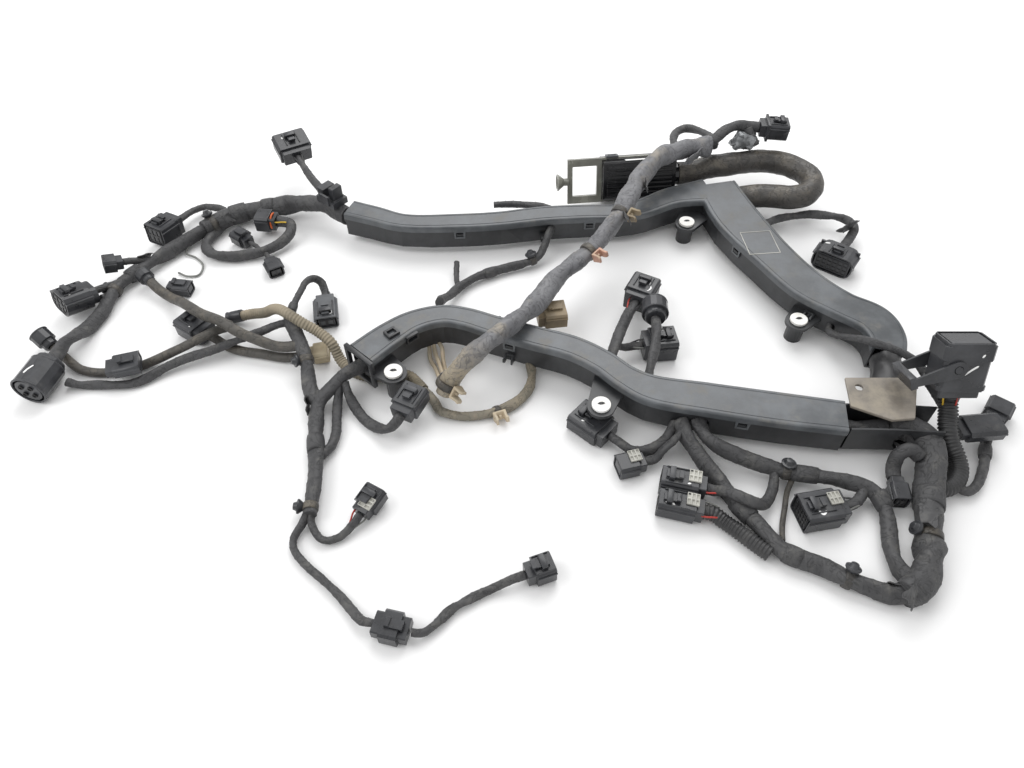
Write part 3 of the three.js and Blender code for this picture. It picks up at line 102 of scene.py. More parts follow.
# Diameter and points of each cord
ROUTES = {
    "left_trunk": (22, [
        (-195, 183, 24), (-207, 192, 24), (-227, 205, 24), (-256, 213, 20), (-295, 211, 15),
        (-330, 202, 13.5), (-350, 188, 13.5), (-366, 172, 13),
    ]),
    "left_trunk_middle": (17, [
        (-360, 178, 12), (-378, 160, 11), (-396, 138, 10), (-414, 115, 10), (-436, 86, 10),
    ]),
    "left_trunk_end": (13, [
        (-428, 98, 10), (-438, 80, 9), (-442, 60, 8), (-443, 38, 8), (-450, 14, 8), (-454, -4, 15),
        (-457, -18, 19.6), (-460, -32, 18.2), (-462, -42, 18.2),
    ]),
    "relay_branch": (9, [
        (-222, 208, 28), (-232, 224, 33), (-245, 240, 38), (-256, 256, 43), (-264, 270, 47),
    ]),
    "coolant_branch": (9, [
        (-338, 194, 14), (-351, 209, 13), (-366, 217, 11), (-379, 219, 10), (-390, 208, 12),
        (-396, 193, 15), (-401, 183, 16),
    ]),
    "left_loop": (12, [
        (-349, 184, 9), (-357, 166, 8), (-359, 148, 8), (-348, 134, 8), (-326, 129, 8),
        (-304, 133, 8), (-286, 139, 9), (-271, 150, 11), (-262, 164, 14), (-263, 177, 17),
        (-271, 180, 18), (-279, 181, 18),
    ]),
    "sensor_branch_a": (6, [(-292, 138, 9), (-300, 146, 10), (-308, 152, 10)]),
    "sensor_branch_b": (6, [(-288, 138, 8), (-283, 130, 8), (-279, 123, 8)]),
    "upright_branch": (8, [(-408, 120, 11), (-421, 115, 14), (-431, 110, 18), (-438, 106, 20)]),
    "oval_branch": (9, [(-432, 88, 10), (-443, 79, 11), (-452, 69, 14), (-458, 62, 16)]),
    "under_branch": (8, [(-438, 76, 8), (-443, 66, 7), (-447, 61, 8), (-450, 57.4, 10)]),
    "thin_loop": (2.4, [
        (-380, 150, 6), (-382, 141, 3), (-369, 134, 2), (-357, 120, 2), (-358, 104, 2),
        (-370, 102, 2), (-382, 108, 2),
    ]),
    "cut_stub": (9, [
        (64, 174, 24), (56, 187, 26), (42, 196, 26), (20, 203, 25), (0, 206, 24), (-22, 205, 24),
    ]),
    "cross_lead": (9.5, [
        (-475, -15, 10), (-469, -19, 6), (-461, -25, 4.9), (-450, -34, 4.9), (-438, -42, 5),
        (-420, -46, 5), (-399, -44, 5), (-380, -37, 5), (-364, -31, 8), (-350, -27, 13),
        (-333, -22, 19), (-316, -14, 24), (-305, -3, 22), (-300, 8, 15), (-300, 18, 10),
    ]),
    "lower_lead": (9, [
        (-445, -60, 7), (-433, -62, 5), (-414, -62, 5), (-396, -62, 5), (-380, -60, 5),
        (-366, -53, 6), (-352, -42, 8), (-334, -33, 11), (-306, -24, 15), (-281, -10, 16),
        (-259, -2, 20), (-243, 2, 25), (-229, 3, 28),
    ]),
    "vent_lead": (11, [
        (-401, 80, 13), (-391, 71, 11), (-374, 58, 11), (-356, 42, 20), (-338, 22, 33),
        (-318, 6, 36.5), (-299, -1, 34), (-277, -13, 29), (-258, -18, 23), (-242, -22, 19),
        (-228, -24, 20), (-214, -25, 24),
    ]),
    "blue_lead": (10, [
        (-318.5, 2, 11.4), (-311, -3, 11.2), (-297, -10, 6), (-282, -16, 5.3), (-257, -21, 5.3),
        (-239, -25, 5.3), (-224, -26, 6.5), (-211, -24, 7.4),
    ]),
    "left_conduit": (11, [
        (-290, 30, 10), (-279, 30, 13), (-262, 25, 20), (-248, 17, 33), (-237, 8, 41),
        (-226, -1, 43), (-212, -8, 38), (-198, -12, 30), (-184, -21, 23), (-175, -32, 9),
        (-165, -42, 5.7), (-151, -50, 5.7), (-136, -52, 5.8), (-118, -48, 5.9), (-104, -51, 5.9),
        (-95, -60, 5.9), (-88, -69, 5.9),
    ]),
    "bundle": (15, [
        (-231, 14, 28), (-227, 2, 28), (-220, -12, 26), (-213, -26, 24), (-207, -40, 20),
        (-203, -57, 14), (-199, -72, 11), (-192, -84, 10), (-182, -83, 12),
    ]),
    "grey_branch": (8, [
        (-231, 10, 28), (-230, 27, 28), (-228, 41, 28), (-226, 54, 27), (-224, 66, 26),
        (-218, 75, 23), (-211, 76, 17), (-206.5, 68, 10.6), (-204.5, 58, 10.3),
    ]),
    "down_trunk": (15, [
        (-184, -80, 14), (-188, -94, 11), (-187, -110, 10), (-184, -132, 10), (-180, -155, 10),
        (-177, -182, 10), (-176, -214, 10),
    ]),
    "down_branch": (9, [
        (-168, -72, 20), (-170, -86, 9), (-169, -104, 6), (-167, -122, 6), (-169, -138, 7),
        (-176, -150, 8),
    ]),
    "square_branch": (10, [
        (-164, -72, 20), (-158, -84, 12), (-150, -96, 7), (-140, -108, 6), (-127, -118, 8),
        (-116, -124, 15), (-109, -122, 21), (-105, -114, 22),
    ]),
    "coil_branch_a": (11, [
        (92, -72, 27), (95, -58, 32), (99, -45, 34), (104, -30, 32), (109, -15, 30), (115, 1, 28),
        (122, 18, 26), (130, 33, 26),
    ]),
    "coil_branch_b": (10, [
        (128, -96, 27), (131, -76, 34), (136, -58, 38), (141, -42, 38), (144, -26, 37),
        (146, -12, 36), (147, 1, 35),
    ]),
    "coil_branch_c": (8, [
        (103, -33, 32), (110, -27, 23), (117, -21, 16), (125, -17, 13.4), (134, -16, 13.4),
    ]),
    "injector_lead_a": (7.5, [
        (-176, -208, 8), (-173, -222, 6), (-162, -235, 5), (-149, -233, 5), (-137, -221, 8),
        (-132, -212.5, 9.4),
    ]),
    "injector_lead_b": (7.5, [
        (-177, -208, 9), (-182, -222, 7), (-187, -233, 5), (-185, -244, 5), (-174, -257, 5),
        (-156, -272, 5), (-140, -286, 5), (-128, -299, 6), (-119, -308, 8.3), (-109, -310.4, 8.3),
    ]),
    "injector_lead_c": (7.5, [
        (-79, -317.8, 8.3), (-70, -317.5, 7), (-60, -309, 5), (-48, -297, 5), (-33, -288, 5),
        (-14, -279, 6), (0, -274, 10), (11, -270, 10.3),
    ]),
    "beige_loom": (10, [
        (-87.2, -70.2, 5.9), (-81, -77, 5.6), (-75, -86, 5.5), (-71, -94, 5.5), (-62, -99, 5.5),
        (-49, -102, 5.5), (-33, -101, 5.5), (-20, -98, 5.5), (-6, -92, 5.5), (8, -81, 5.5),
        (17, -67, 5.5), (20, -52, 6), (19, -40, 8.5), (17, -33, 13),
    ]),
    "diagonal": (24, [
        (238, 262, 67), (215, 256, 69), (197, 246, 71), (175, 230, 74), (156, 204, 74),
        (142, 179, 75), (130, 154, 74), (122, 136, 71), (112, 120, 66), (98, 101, 60), (84, 84, 56),
        (68, 69, 52), (54, 56, 49), (40, 36, 49), (26, 8, 52.2), (12, -16, 57.1),
    ]),
    "diagonal_end": (19, [
        (18, -8, 55.1), (2, -28, 59.1), (-14, -48, 62.5), (-28, -62, 62), (-42, -72, 54),
        (-52, -76, 42), (-61, -79, 29), (-66, -84, 19),
    ]),
    "cross_branch": (10, [
        (48, 169, 24), (45, 156, 26), (41, 145, 24), (37, 135, 18), (30, 124, 12), (16, 117, 9),
        (-2, 111, 8), (-20, 104, 8), (-40, 94, 8), (-58, 78, 8), (-68, 60, 12), (-74, 44, 22),
        (-76, 28, 33),
    ]),
    "strand_stub": (6, [(-60, 76, 7), (-62, 88, 8), (-63, 102, 9), (-63, 116, 11)]),
    "top_loop": (10, [
        (203, 258, 64), (200, 274, 60), (201, 294, 56), (209, 316, 53), (223, 326, 52),
        (236, 318, 54), (246, 302, 57), (250, 286, 60), (246, 270, 62),
    ]),
    "grommet_branch": (13, [
        (232, 262, 66), (247, 272, 72), (262, 285, 76), (277, 292, 77), (291, 293, 75),
        (303, 292, 74.6),
    ]),
    "grommet_drop": (13, [(289, 291, 74), (293, 285, 67), (298, 276, 58.5)]),
    "ecu_trunk": (27, [
        (204.2, 258.3, 31.2), (214.2, 259.5, 31.2), (226.1, 260.8, 31.2), (242, 264, 36),
        (264, 267, 38), (296, 271, 40), (325, 268, 41), (346, 256, 42), (359, 238, 42),
        (360, 219, 41), (350, 205, 39), (334, 203, 36), (316, 210, 32), (299, 217, 28),
        (281, 217, 26), (264, 209, 26),
    ]),
    "wide_branch": (10, [
        (276, 158, 20), (291, 168, 19), (305, 181, 16), (320, 191, 14), (340, 196, 14),
        (358, 197, 16), (374, 194, 17), (389, 191, 17), (401, 183, 17), (405, 171, 16),
        (397, 156, 15), (387, 143, 13.5), (379, 132, 13.5),
    ]),
    "side_cord": (7.5, [
        (331, 7, 20), (328, -1, 20), (332, -9, 22), (340, -18, 28), (347, -30, 38), (355, -42, 45),
        (365, -51, 48), (376, -59, 48), (386, -68, 46), (392, -80, 42), (395, -94, 38),
        (397, -108, 37), (399, -122, 36),
    ]),
    "right_loop": (17, [
        (402, -108.5, 50), (402, -112, 42), (401, -123, 35), (399, -135, 29), (401, -147, 21),
        (405, -158, 14), (404, -169, 11), (397, -180, 10), (386, -186, 10), (370, -186, 13),
    ]),
    "ring_branch": (10, [
        (396, -182, 9), (406, -188, 7), (417, -182, 6), (428, -168, 6), (437, -152, 6),
        (444, -136, 6), (452, -120, 8.3), (460, -110, 8.4),
    ]),
    "right_trunk": (25, [
        (345.6, -131, 27.2), (360, -131.4, 27.4), (374, -142, 27), (378, -157, 24), (374, -175, 18),
        (368, -192, 14), (361, -212, 14.3), (354, -232, 14.6), (348, -250, 14.6), (341, -267, 14.6),
        (331, -280, 14.4), (316, -289, 14),
    ]),
    "bottom_trunk": (16, [
        (326, -285, 12), (308, -287, 9), (292, -281, 9), (274, -272, 9), (257, -262, 9),
        (243, -256, 9), (229, -248, 9), (220, -236, 9), (212, -222, 9), (203, -209, 9),
        (194, -195, 9), (186, -180, 10), (177, -166, 13), (168, -152, 18), (160, -138, 22),
        (156, -122, 24),
    ]),
    "front_branch": (14, [
        (330, -281, 14), (321, -270, 12), (318, -258, 11), (320, -240, 10), (324, -224, 10),
        (326, -208, 10), (323, -196, 12), (314, -188, 14), (302, -184, 15), (286, -180, 16),
        (264, -175, 15), (246, -171, 14), (225, -164, 15), (206, -157, 18), (190, -150, 21),
        (178, -140, 24), (172, -122, 26),
    ]),
    "twin_branch": (10, [
        (171.8, -189.2, 13.4), (179, -191, 13.4), (187, -196, 20), (197, -203, 23), (209, -207, 20),
        (220, -204, 12), (228, -195, 9), (234, -183, 10), (237, -170, 12),
    ]),
    "comb_branch": (10, [
        (313, -187, 14), (306, -198, 12), (298, -204, 11.4), (289.5, -205.6, 11.4),
    ]),
    "thin_cord": (5, [
        (254, -174, 10), (247, -186, 5), (241, -203, 4), (235, -220, 4), (230, -238, 8),
    ]),
    "ear_branch": (10, [
        (152, -122, 22), (143, -137, 17), (132, -143, 11), (121, -144, 7), (110, -143, 8),
        (101, -137, 10.3), (92, -129, 10.4),
    ]),
    "small_branch": (8, [
        (156, -134, 24), (147, -145, 24), (139, -150, 19), (131, -154.5, 8.9), (121.5, -157, 8.9),
    ]),
    "boot_branch": (13, [
        (366, -162, 24), (357, -158, 29), (348, -160, 25), (345, -166, 14), (344.5, -171, 10.6),
        (344, -177, 10.3),
    ]),
    "right_conduit": (14, [
        (167, -210.6, 10.4), (175, -212.6, 10.2), (184, -219, 7.6), (194, -228, 7.6),
        (206, -240, 7.6), (217, -250, 7.6),
    ]),
}

ROUTES["rear_duct_run"] = (14, [
    (x, y, 24) for x, y, _ in [(-204, 190, 0), *REAR_ARM[:-1], (228, 207, 0), (252, 188, 0), *REAR_LEG[1:]]
])
ROUTES["front_run"] = (14.5, [
    *ROUTES.pop("bundle")[1][:-1], (-186, -84, 12), (-176, -76, 18), (-164, -66, 25),
    *[(x, y, 27) for x, y, _ in [*FRONT_ARM, (345, -131, 0)]],
])
ROUTES["left_lower_trunk"] = (15, [
    *ROUTES.pop("left_trunk_middle")[1][:-1], *ROUTES.pop("left_trunk_end")[1][1:],
])
ROUTES["diagonal"] = (22, [*ROUTES["diagonal"][1][:-1], *ROUTES.pop("diagonal_end")[1][1:]])


def in_metres(point):
    """A point of the plan, in millimetres, as a place in the scene."""
    x, y, z = point
    return Vector(((x - PLAN_CENTRE[0]) / 1000, (y - PLAN_CENTRE[1]) / 1000, z / 1000))


def pose_at(place, along, across, up):
    """The pose at a place whose axes run along three directions."""
    return Matrix.Translation(place) @ Matrix((along, across, up)).transposed().to_4x4()


print(len(ROUTES), "routes")

# %% [markdown]
# ## A smooth line through the points
#
# A taped loom bends evenly, without flat spots between the points. A centripetal
# Catmull-Rom curve goes through every point and doesn't swing out beside close ones, so it
# is the right one for points that were given one by one. The curve is then walked in equal
# steps, since the winding of the tape has to be even along the whole cord.

# %% Walk a smooth line in equal steps
SEGMENT_STEPS = 24


def dense_line(points):
    """A centripetal Catmull-Rom curve through the points, in many short steps."""
    ends = [2 * points[0] - points[1], *points, 2 * points[-1] - points[-2]]
    dense = []
    for before, first, second, after in zip(ends, ends[1:], ends[2:], ends[3:]):
        d0, d1, d2 = (
            max((b - a).length, 1e-6) ** 0.5
            for a, b in ((before, first), (first, second), (second, after))
        )
        leave = (first - before) / d0 - (second - before) / (d0 + d1) + (second - first) / d1
        arrive = (second - first) / d1 - (after - first) / (d1 + d2) + (after - second) / d2
        leave, arrive = leave * d1, arrive * d1
        for i in range(SEGMENT_STEPS):
            t = i / SEGMENT_STEPS
            dense.append(
                first * (2 * t**3 - 3 * t**2 + 1)
                + leave * (t**3 - 2 * t**2 + t)
                + second * (3 * t**2 - 2 * t**3)
                + arrive * (t**3 - t**2)
            )
    dense.append(points[-1])
    return dense


def smooth_line(points, step):
    """Points at equal distances along a smooth line through the given ones."""
    dense = dense_line(points)
    total = sum((b - a).length for a, b in zip(dense, dense[1:]))
    count = max(2, round(total / step))
    line = [dense[0]]
    walked, wanted = 0.0, total / count
    for a, b in zip(dense, dense[1:]):
        length = (b - a).length
        while walked + length >= wanted - 1e-12 and len(line) < count:
            line.append(a.lerp(b, (wanted - walked) / length))
            wanted += total / count
        walked += length
    line.append(dense[-1])
    return line


def line_length(line):
    """The length of a line of points."""
    return sum((b - a).length for a, b in zip(line, line[1:]))


diagonal_line = smooth_line([in_metres(point) for point in ROUTES["diagonal"][1]], 0.002)
print("the diagonal loom is", round(line_length(diagonal_line) * 1000), "mm long")

# %% [markdown]
# ## From a line to a cord
#
# A cord is a ring of points carried along the line. The ring is turned as little as
# possible from step to step, because a ring that follows the bends of the line by itself
# would twist where the line changes its side. How far each point stands off the line is
# left to a function of the distance along the cord and the angle around it: that is where
# the tape's overlaps, the ribs of a conduit and the folds of a thick sleeve come from.
#
# The UV map runs in metres along the cord and from 0 to 1 around it, so that the material
# can wind its threads the same way.

# %% Carry a ring along a line
def carried_frames(line):
    """The tangent and two side directions at each point of a line, without twist."""
    tangents = [
        (line[min(i + 1, len(line) - 1)] - line[max(i - 1, 0)]).normalized()
        for i in range(len(line))
    ]
    up = Vector((0, 0, 1))
    if abs(tangents[0].z) > 0.9:
        up = Vector((0, 1, 0))
    side = (up - tangents[0] * up.dot(tangents[0])).normalized()
    frames = []
    for tangent in tangents:
        side = (side - tangent * side.dot(tangent)).normalized()
        frames.append((tangent, side, tangent.cross(side)))
    return frames


def object_from(mesh, name):
    """A new object from a finished mesh."""
    data = bpy.data.meshes.new(name)
    mesh.to_mesh(data)
    mesh.free()
    piece = bpy.data.objects.new(name, data)
    bpy.context.collection.objects.link(piece)
    return piece


def tube_mesh(name, line, sides, stand_off):
    """A closed tube along a line, as a new object; stand_off(distance, angle) is its radius."""
    frames = carried_frames(line)
    mesh = bmesh.new()
    layer = mesh.loops.layers.uv.new("along")
    distance = 0.0
    rings, distances = [], []
    for i, (point, (tangent, side, other)) in enumerate(zip(line, frames)):
        if i:
            distance += (point - line[i - 1]).length
        ring = []
        for k in range(sides):
            angle = 2 * math.pi * k / sides
            radius = stand_off(distance, angle)
            ring.append(mesh.verts.new(
                point + radius * (math.cos(angle) * side + math.sin(angle) * other)
            ))
        rings.append(ring)
        distances.append(distance)
    for i in range(len(rings) - 1):
        for k in range(sides):
            after = (k + 1) % sides
            face = mesh.faces.new((rings[i][k], rings[i][after], rings[i + 1][after], rings[i + 1][k]))
            face.smooth = True
            spots = [(i, k), (i, k + 1), (i + 1, k + 1), (i + 1, k)]
            for loop, (row, turn) in zip(face.loops, spots):
                loop[layer].uv = (distances[row], turn / sides)
    for ring, centre in ((rings[0], line[0]), (rings[-1], line[-1])):
        pole = mesh.verts.new(centre)
        for k in range(sides):
            mesh.faces.new((ring[k], ring[(k + 1) % sides], pole))
    bmesh.ops.recalc_face_normals(mesh, faces=mesh.faces)
    return object_from(mesh, name)


def round_noise(along, reach, angle, seed):
    """Noise that closes on itself round a cord."""
    return noise.noise(Vector((along, reach * math.cos(angle) + seed, reach * math.sin(angle))))


# Least pitch of the winding and height of the edge of a turn; length and depth of a waist
LEAST_PITCH = 0.006
TURN_EDGE = 0.0004
WAIST_REACH = 0.011
WAIST_DEPTH = 0.17


def tape_winding(diameters, length, seed, waists=()):
    """A loom under wound tape: an edge at each turn, flat stretches, creases and tight waists."""
    start, end = (value / 2000 for value in diameters)
    pitch = LEAST_PITCH + 0.7 * start

    def stand_off(distance, angle):
        radius = start + (end - start) * min(1.0, distance / length)
        turn = (distance / pitch - angle / (2 * math.pi)) % 1.0
        edge = TURN_EDGE * max(0.0, 1 - 5 * turn)
        lump = noise.noise(Vector((distance * 45, seed, 0)))
        drift = 5 * noise.noise(Vector((distance * 14, seed, 9)))
        flat = 0.11 * (1 + noise.noise(Vector((distance * 30, seed, 4)))) * math.cos(2 * (angle - drift))
        crease = round_noise(distance * 25, 3.0, angle, seed)
        tight = min(1.0, sum(math.exp(-((distance - place) / WAIST_REACH) ** 2) for place in waists))
        dent = round_noise(distance * 110, 1.2, angle, seed)
        form = 0.97 + 0.05 * lump + flat - 0.07 * abs(dent) - 0.06 * abs(crease)
        return radius * (1 - WAIST_DEPTH * tight) * max(0.8, min(1.2, form)) + edge

    return stand_off


def conduit_ribs(diameter, pitch=0.0032):
    """The surface of a corrugated conduit."""
    radius = diameter / 2000

    def stand_off(distance, angle):
        wave = math.cos(2 * math.pi * distance / pitch)
        return radius * (0.97 + 0.06 * max(-1.0, min(1.0, 1.8 * wave)))

    return stand_off


def sleeve_folds(diameter, seed):
    """The surface of a thick sleeve that folds along its length."""
    radius = diameter / 2000

    def stand_off(distance, angle):
        fold = 1 - 2.2 * abs(round_noise(distance * 42, 2.1, angle, seed))
        lump = noise.noise(Vector((distance * 30, seed, math.cos(angle))))
        return radius * (0.97 + 0.075 * fold + 0.05 * lump)

    return stand_off


def smooth_sheath(diameter, seed):
    """The surface of a plain rubber sheath."""
    radius = diameter / 2000

    def stand_off(distance, angle):
        return radius * (0.99 + 0.04 * noise.noise(Vector((distance * 60, seed, 0))))

    return stand_off


print("four kinds of cord surface are ready")

# %% [markdown]
# ## Shared effects
#
# Three effects are used by nearly every material, so each is a node group with named
# inputs. Dust lies where a surface faces up and gathers in patches. Tape threads wind along
# a cord, with a thin line where one turn overlaps the next. Moulded grain gives plastic its
# slightly uneven gloss and its fine scratches.

# %% Make the shared effects
def linear(red, green, blue):
    """A colour from 0 to 255 in each channel, as the values that a shader works with."""
    values = []
    for value in (red, green, blue):
        share = value / 255
        values.append(share / 12.92 if share <= 0.04045 else ((share + 0.055) / 1.055) ** 2.4)
    return (*values, 1.0)


def put(tree, kind, inputs=None, **settings):
    """A new node; each input is given as a value or as the socket that feeds it."""
    node = tree.nodes.new(kind)
    for key, value in settings.items():
        setattr(node, key, value)
    for key, value in (inputs or {}).items():
        if isinstance(value, bpy.types.NodeSocket):
            tree.links.new(value, node.inputs[key])
        else:
            node.inputs[key].default_value = value
    return node


def calculate(tree, operation, *values):
    """The result of a sum in a shader."""
    return put(tree, "ShaderNodeMath", dict(enumerate(values)), operation=operation).outputs[0]


def ramp(tree, value, low, high, start=0.0, end=1.0):
    """A value that eases from start to end between two limits."""
    inputs = {"Value": value, "From Min": low, "From Max": high, "To Min": start, "To Max": end}
    return put(tree, "ShaderNodeMapRange", inputs, interpolation_type="SMOOTHSTEP").outputs[0]


def cloud(tree, scale, detail=2.0, roughness=0.5, distortion=0.0, place=None):
    """Noise in the space of the object, or in the given one."""
    if place is None:
        place = put(tree, "ShaderNodeTexCoord").outputs["Object"]
    return put(tree, "ShaderNodeTexNoise", {
        "Vector": place, "Scale": scale, "Detail": detail, "Roughness": roughness, "Distortion": distortion,
    }).outputs[0]


def open_group(name, inputs, outputs):
    """An empty node group with its sockets, and the nodes for its two ends."""
    group = bpy.data.node_groups.new(name, "ShaderNodeTree")
    for label, value in inputs.items():
        socket = group.interface.new_socket(label, in_out="INPUT", socket_type="NodeSocketFloat")
        socket.default_value = value
    for label in outputs:
        group.interface.new_socket(label, in_out="OUTPUT", socket_type="NodeSocketFloat")
    return group, group.nodes.new("NodeGroupInput"), group.nodes.new("NodeGroupOutput")


def settled_dust():
    """Dust in patches on what faces up."""
    group, given, result = open_group("settled_dust", {"Scale": 60.0, "Amount": 0.5}, ["Mask"])
    patches = cloud(group, given.outputs["Scale"], 6.0, 0.65)
    limit = calculate(group, "SUBTRACT", 1.0, given.outputs["Amount"])
    low = calculate(group, "SUBTRACT", limit, 0.16)
    high = calculate(group, "ADD", limit, 0.16)
    patch = ramp(group, patches, low, high)
    normal = put(group, "ShaderNodeNewGeometry").outputs["Normal"]
    upward = put(group, "ShaderNodeSeparateXYZ", {0: normal}).outputs["Z"]
    top = ramp(group, upward, -0.2, 0.9, 0.15, 1.0)
    group.links.new(calculate(group, "MULTIPLY", patch, top), result.inputs["Mask"])
    return group


def tape_threads():
    """Threads wound along a cord, and the line where the turns overlap."""
    group, given, result = open_group(
        "tape_threads", {"Pitch": 0.015, "Thread": 0.0011}, ["Overlap", "Height", "Tone"],
    )
    place = put(group, "ShaderNodeUVMap", uv_map="along").outputs[0]
    axes = put(group, "ShaderNodeSeparateXYZ", {0: place})
    along, around = axes.outputs["X"], axes.outputs["Y"]
    turns = calculate(group, "DIVIDE", along, given.outputs["Pitch"])
    wound = calculate(group, "SUBTRACT", turns, around)
    turn = calculate(group, "FRACT", wound)
    overlap = ramp(group, turn, 0.0, 0.09, 1.0, 0.0)
    lengthwise = calculate(group, "SINE", calculate(group, "DIVIDE", along, given.outputs["Thread"]))
    crosswise = calculate(group, "SINE", calculate(group, "MULTIPLY", around, 220.0))
    weave = calculate(group, "MULTIPLY", lengthwise, crosswise)
    patches = cloud(group, 240.0, 5.0, 0.7)
    strip = put(group, "ShaderNodeTexWhiteNoise", {
        "W": calculate(group, "FLOOR", wound),
    }, noise_dimensions="1D").outputs["Value"]
    height = calculate(group, "ADD", calculate(group, "MULTIPLY", weave, 0.25), patches)
    height = calculate(group, "ADD", height, calculate(group, "MULTIPLY", overlap, 0.8))
    tone = calculate(group, "ADD", calculate(group, "MULTIPLY", patches, 0.7),
                     calculate(group, "MULTIPLY", strip, 0.3))
    group.links.new(overlap, result.inputs["Overlap"])
    group.links.new(height, result.inputs["Height"])
    group.links.new(tone, result.inputs["Tone"])
    return group


def moulded_grain():
    """The fine grain, blotches and scratches of a moulded part."""
    group, given, result = open_group(
        "moulded_grain", {"Scale": 900.0, "Scratches": 0.5}, ["Height", "Tone", "Scuff"],
    )
    place = put(group, "ShaderNodeTexCoord").outputs["Object"]
    grain = cloud(group, given.outputs["Scale"], 3.0)
    blotch = cloud(group, 35.0, 5.0, 0.6)
    stretched = put(group, "ShaderNodeMapping", {
        "Vector": place, "Rotation": (0.3, 0.2, 0.6), "Scale": (1.0, 14.0, 5.0),
    }).outputs[0]
    lines = cloud(group, 70.0, 4.0, 0.7, place=stretched)
    scratch = calculate(group, "MULTIPLY", ramp(group, lines, 0.6, 0.72), given.outputs["Scratches"])
    height = calculate(group, "SUBTRACT", calculate(group, "MULTIPLY", grain, 0.4), scratch)
    group.links.new(height, result.inputs["Height"])
    group.links.new(blotch, result.inputs["Tone"])
    group.links.new(scratch, result.inputs["Scuff"])
    return group


DUST = settled_dust()
THREADS = tape_threads()
GRAIN = moulded_grain()
print("made", DUST.name, THREADS.name, "and", GRAIN.name)

# %% [markdown]
# ## The materials
#
# Every finish is a Principled shader with its own colours and the shared effects on top.
# The tape is nearly black, and it looks grey in the picture because dust sits in its
# threads. Thin wrinkles run over it where it was pulled, and their creases are darkened
# with painted shade. The ducts are glass-filled nylon, which is dull and a little blue. The
# plugs are the same kind of plastic, but moulded smoother, so they show small sharp highlights.

# %% Make the materials
def start_material(name):
    """An empty material with its tree and its shader."""
    made = bpy.data.materials.new(name)
    made.use_nodes = True
    return made, made.node_tree, made.node_tree.nodes["Principled BSDF"]


def effect(tree, group, **values):
    """One of the shared effects in a material."""
    node = tree.nodes.new("ShaderNodeGroup")
    node.node_tree = group
    for label, value in values.items():
        node.inputs[label].default_value = value
    return node


def mixed(tree, share, first, second):
    """A colour between two others."""
    node = put(tree, "ShaderNodeMix", {0: share, 6: first, 7: second}, data_type="RGBA")
    return node.outputs[2]


def wound_tape(
    name, colour, pale, dust_colour, dust=0.45, pitch=0.015, roughness=0.6, patch=70.0, muddy=(),
):
    """Cloth or vinyl tape wound round a loom, muddy between two places along it if they are given."""
    made, tree, shader = start_material(name)
    threads = effect(tree, THREADS, Pitch=pitch)
    settled = effect(tree, DUST, Scale=patch, Amount=dust)
    body = mixed(tree, threads.outputs["Tone"], colour, pale)
    wrinkles = cloud(tree, 70.0, distortion=1.8)
    level = calculate(tree, "ABSOLUTE", calculate(tree, "SUBTRACT", wrinkles, 0.5))
    fold = ramp(tree, level, 0.0, 0.045, 1.0, 0.0)
    # Colour of the painted shade in the creases: a third of the tape's own colour
    painted_crease_shade = tuple(0.35 * value for value in colour[:3]) + (1.0,)
    body = mixed(tree, calculate(tree, "MULTIPLY", threads.outputs["Overlap"], 0.45), body, pale)
    body = mixed(tree, settled.outputs["Mask"], body, dust_colour)
    if muddy:
        place = put(tree, "ShaderNodeUVMap", uv_map="along").outputs[0]
        along = put(tree, "ShaderNodeSeparateXYZ", {0: place}).outputs["X"]
        mud = ramp(tree, along, muddy[0], muddy[1])
        mud = calculate(tree, "MULTIPLY", mud, ramp(tree, threads.outputs["Tone"], 0.25, 0.55, 0.35, 1.0))
        body = mixed(tree, mud, body, linear(158, 147, 127))
    # Painted shade: the colour is darkened in the creases of the wrinkles, besides their bump
    body = mixed(tree, calculate(tree, "MULTIPLY", fold, 0.45), body, painted_crease_shade)
    tree.links.new(body, shader.inputs["Base Color"])
    shader.inputs["Roughness"].default_value = roughness
    height = calculate(tree, "SUBTRACT", threads.outputs["Height"], calculate(tree, "MULTIPLY", fold, 2.5))
    bump = put(tree, "ShaderNodeBump", {"Strength": 0.4, "Distance": 0.0005, "Height": height})
    tree.links.new(bump.outputs[0], shader.inputs["Normal"])
    return made


def moulded(name, colour, dust_colour, roughness=0.42, dust=0.35, scratches=0.5, grain=900.0):
    """Moulded plastic with grain, scuffs and settled dust."""
    made, tree, shader = start_material(name)
    surface = effect(tree, GRAIN, Scale=grain, Scratches=scratches)
    settled = effect(tree, DUST, Scale=45.0, Amount=dust)
    pale = tuple(min(1.0, 1.7 * value + 0.01) for value in colour[:3]) + (1.0,)
    body = mixed(tree, ramp(tree, surface.outputs["Tone"], 0.35, 0.75), colour, pale)
    body = mixed(tree, calculate(tree, "MULTIPLY", surface.outputs["Scuff"], 0.5), body, pale)
    body = mixed(tree, settled.outputs["Mask"], body, dust_colour)
    tree.links.new(body, shader.inputs["Base Color"])
    gloss = ramp(tree, surface.outputs["Tone"], 0.3, 0.8, roughness - 0.07, roughness + 0.1)
    gloss = calculate(tree, "ADD", gloss, calculate(tree, "MULTIPLY", settled.outputs["Mask"], 0.35))
    tree.links.new(gloss, shader.inputs["Roughness"])
    bump = put(tree, "ShaderNodeBump", {
        "Strength": 0.25, "Distance": 0.0003, "Height": surface.outputs["Height"],
    })
    tree.links.new(bump.outputs[0], shader.inputs["Normal"])
    return made


dust_tan = linear(150, 140, 122)
dust_grey = linear(96, 95, 92)
dust_brown = linear(100, 94, 84)

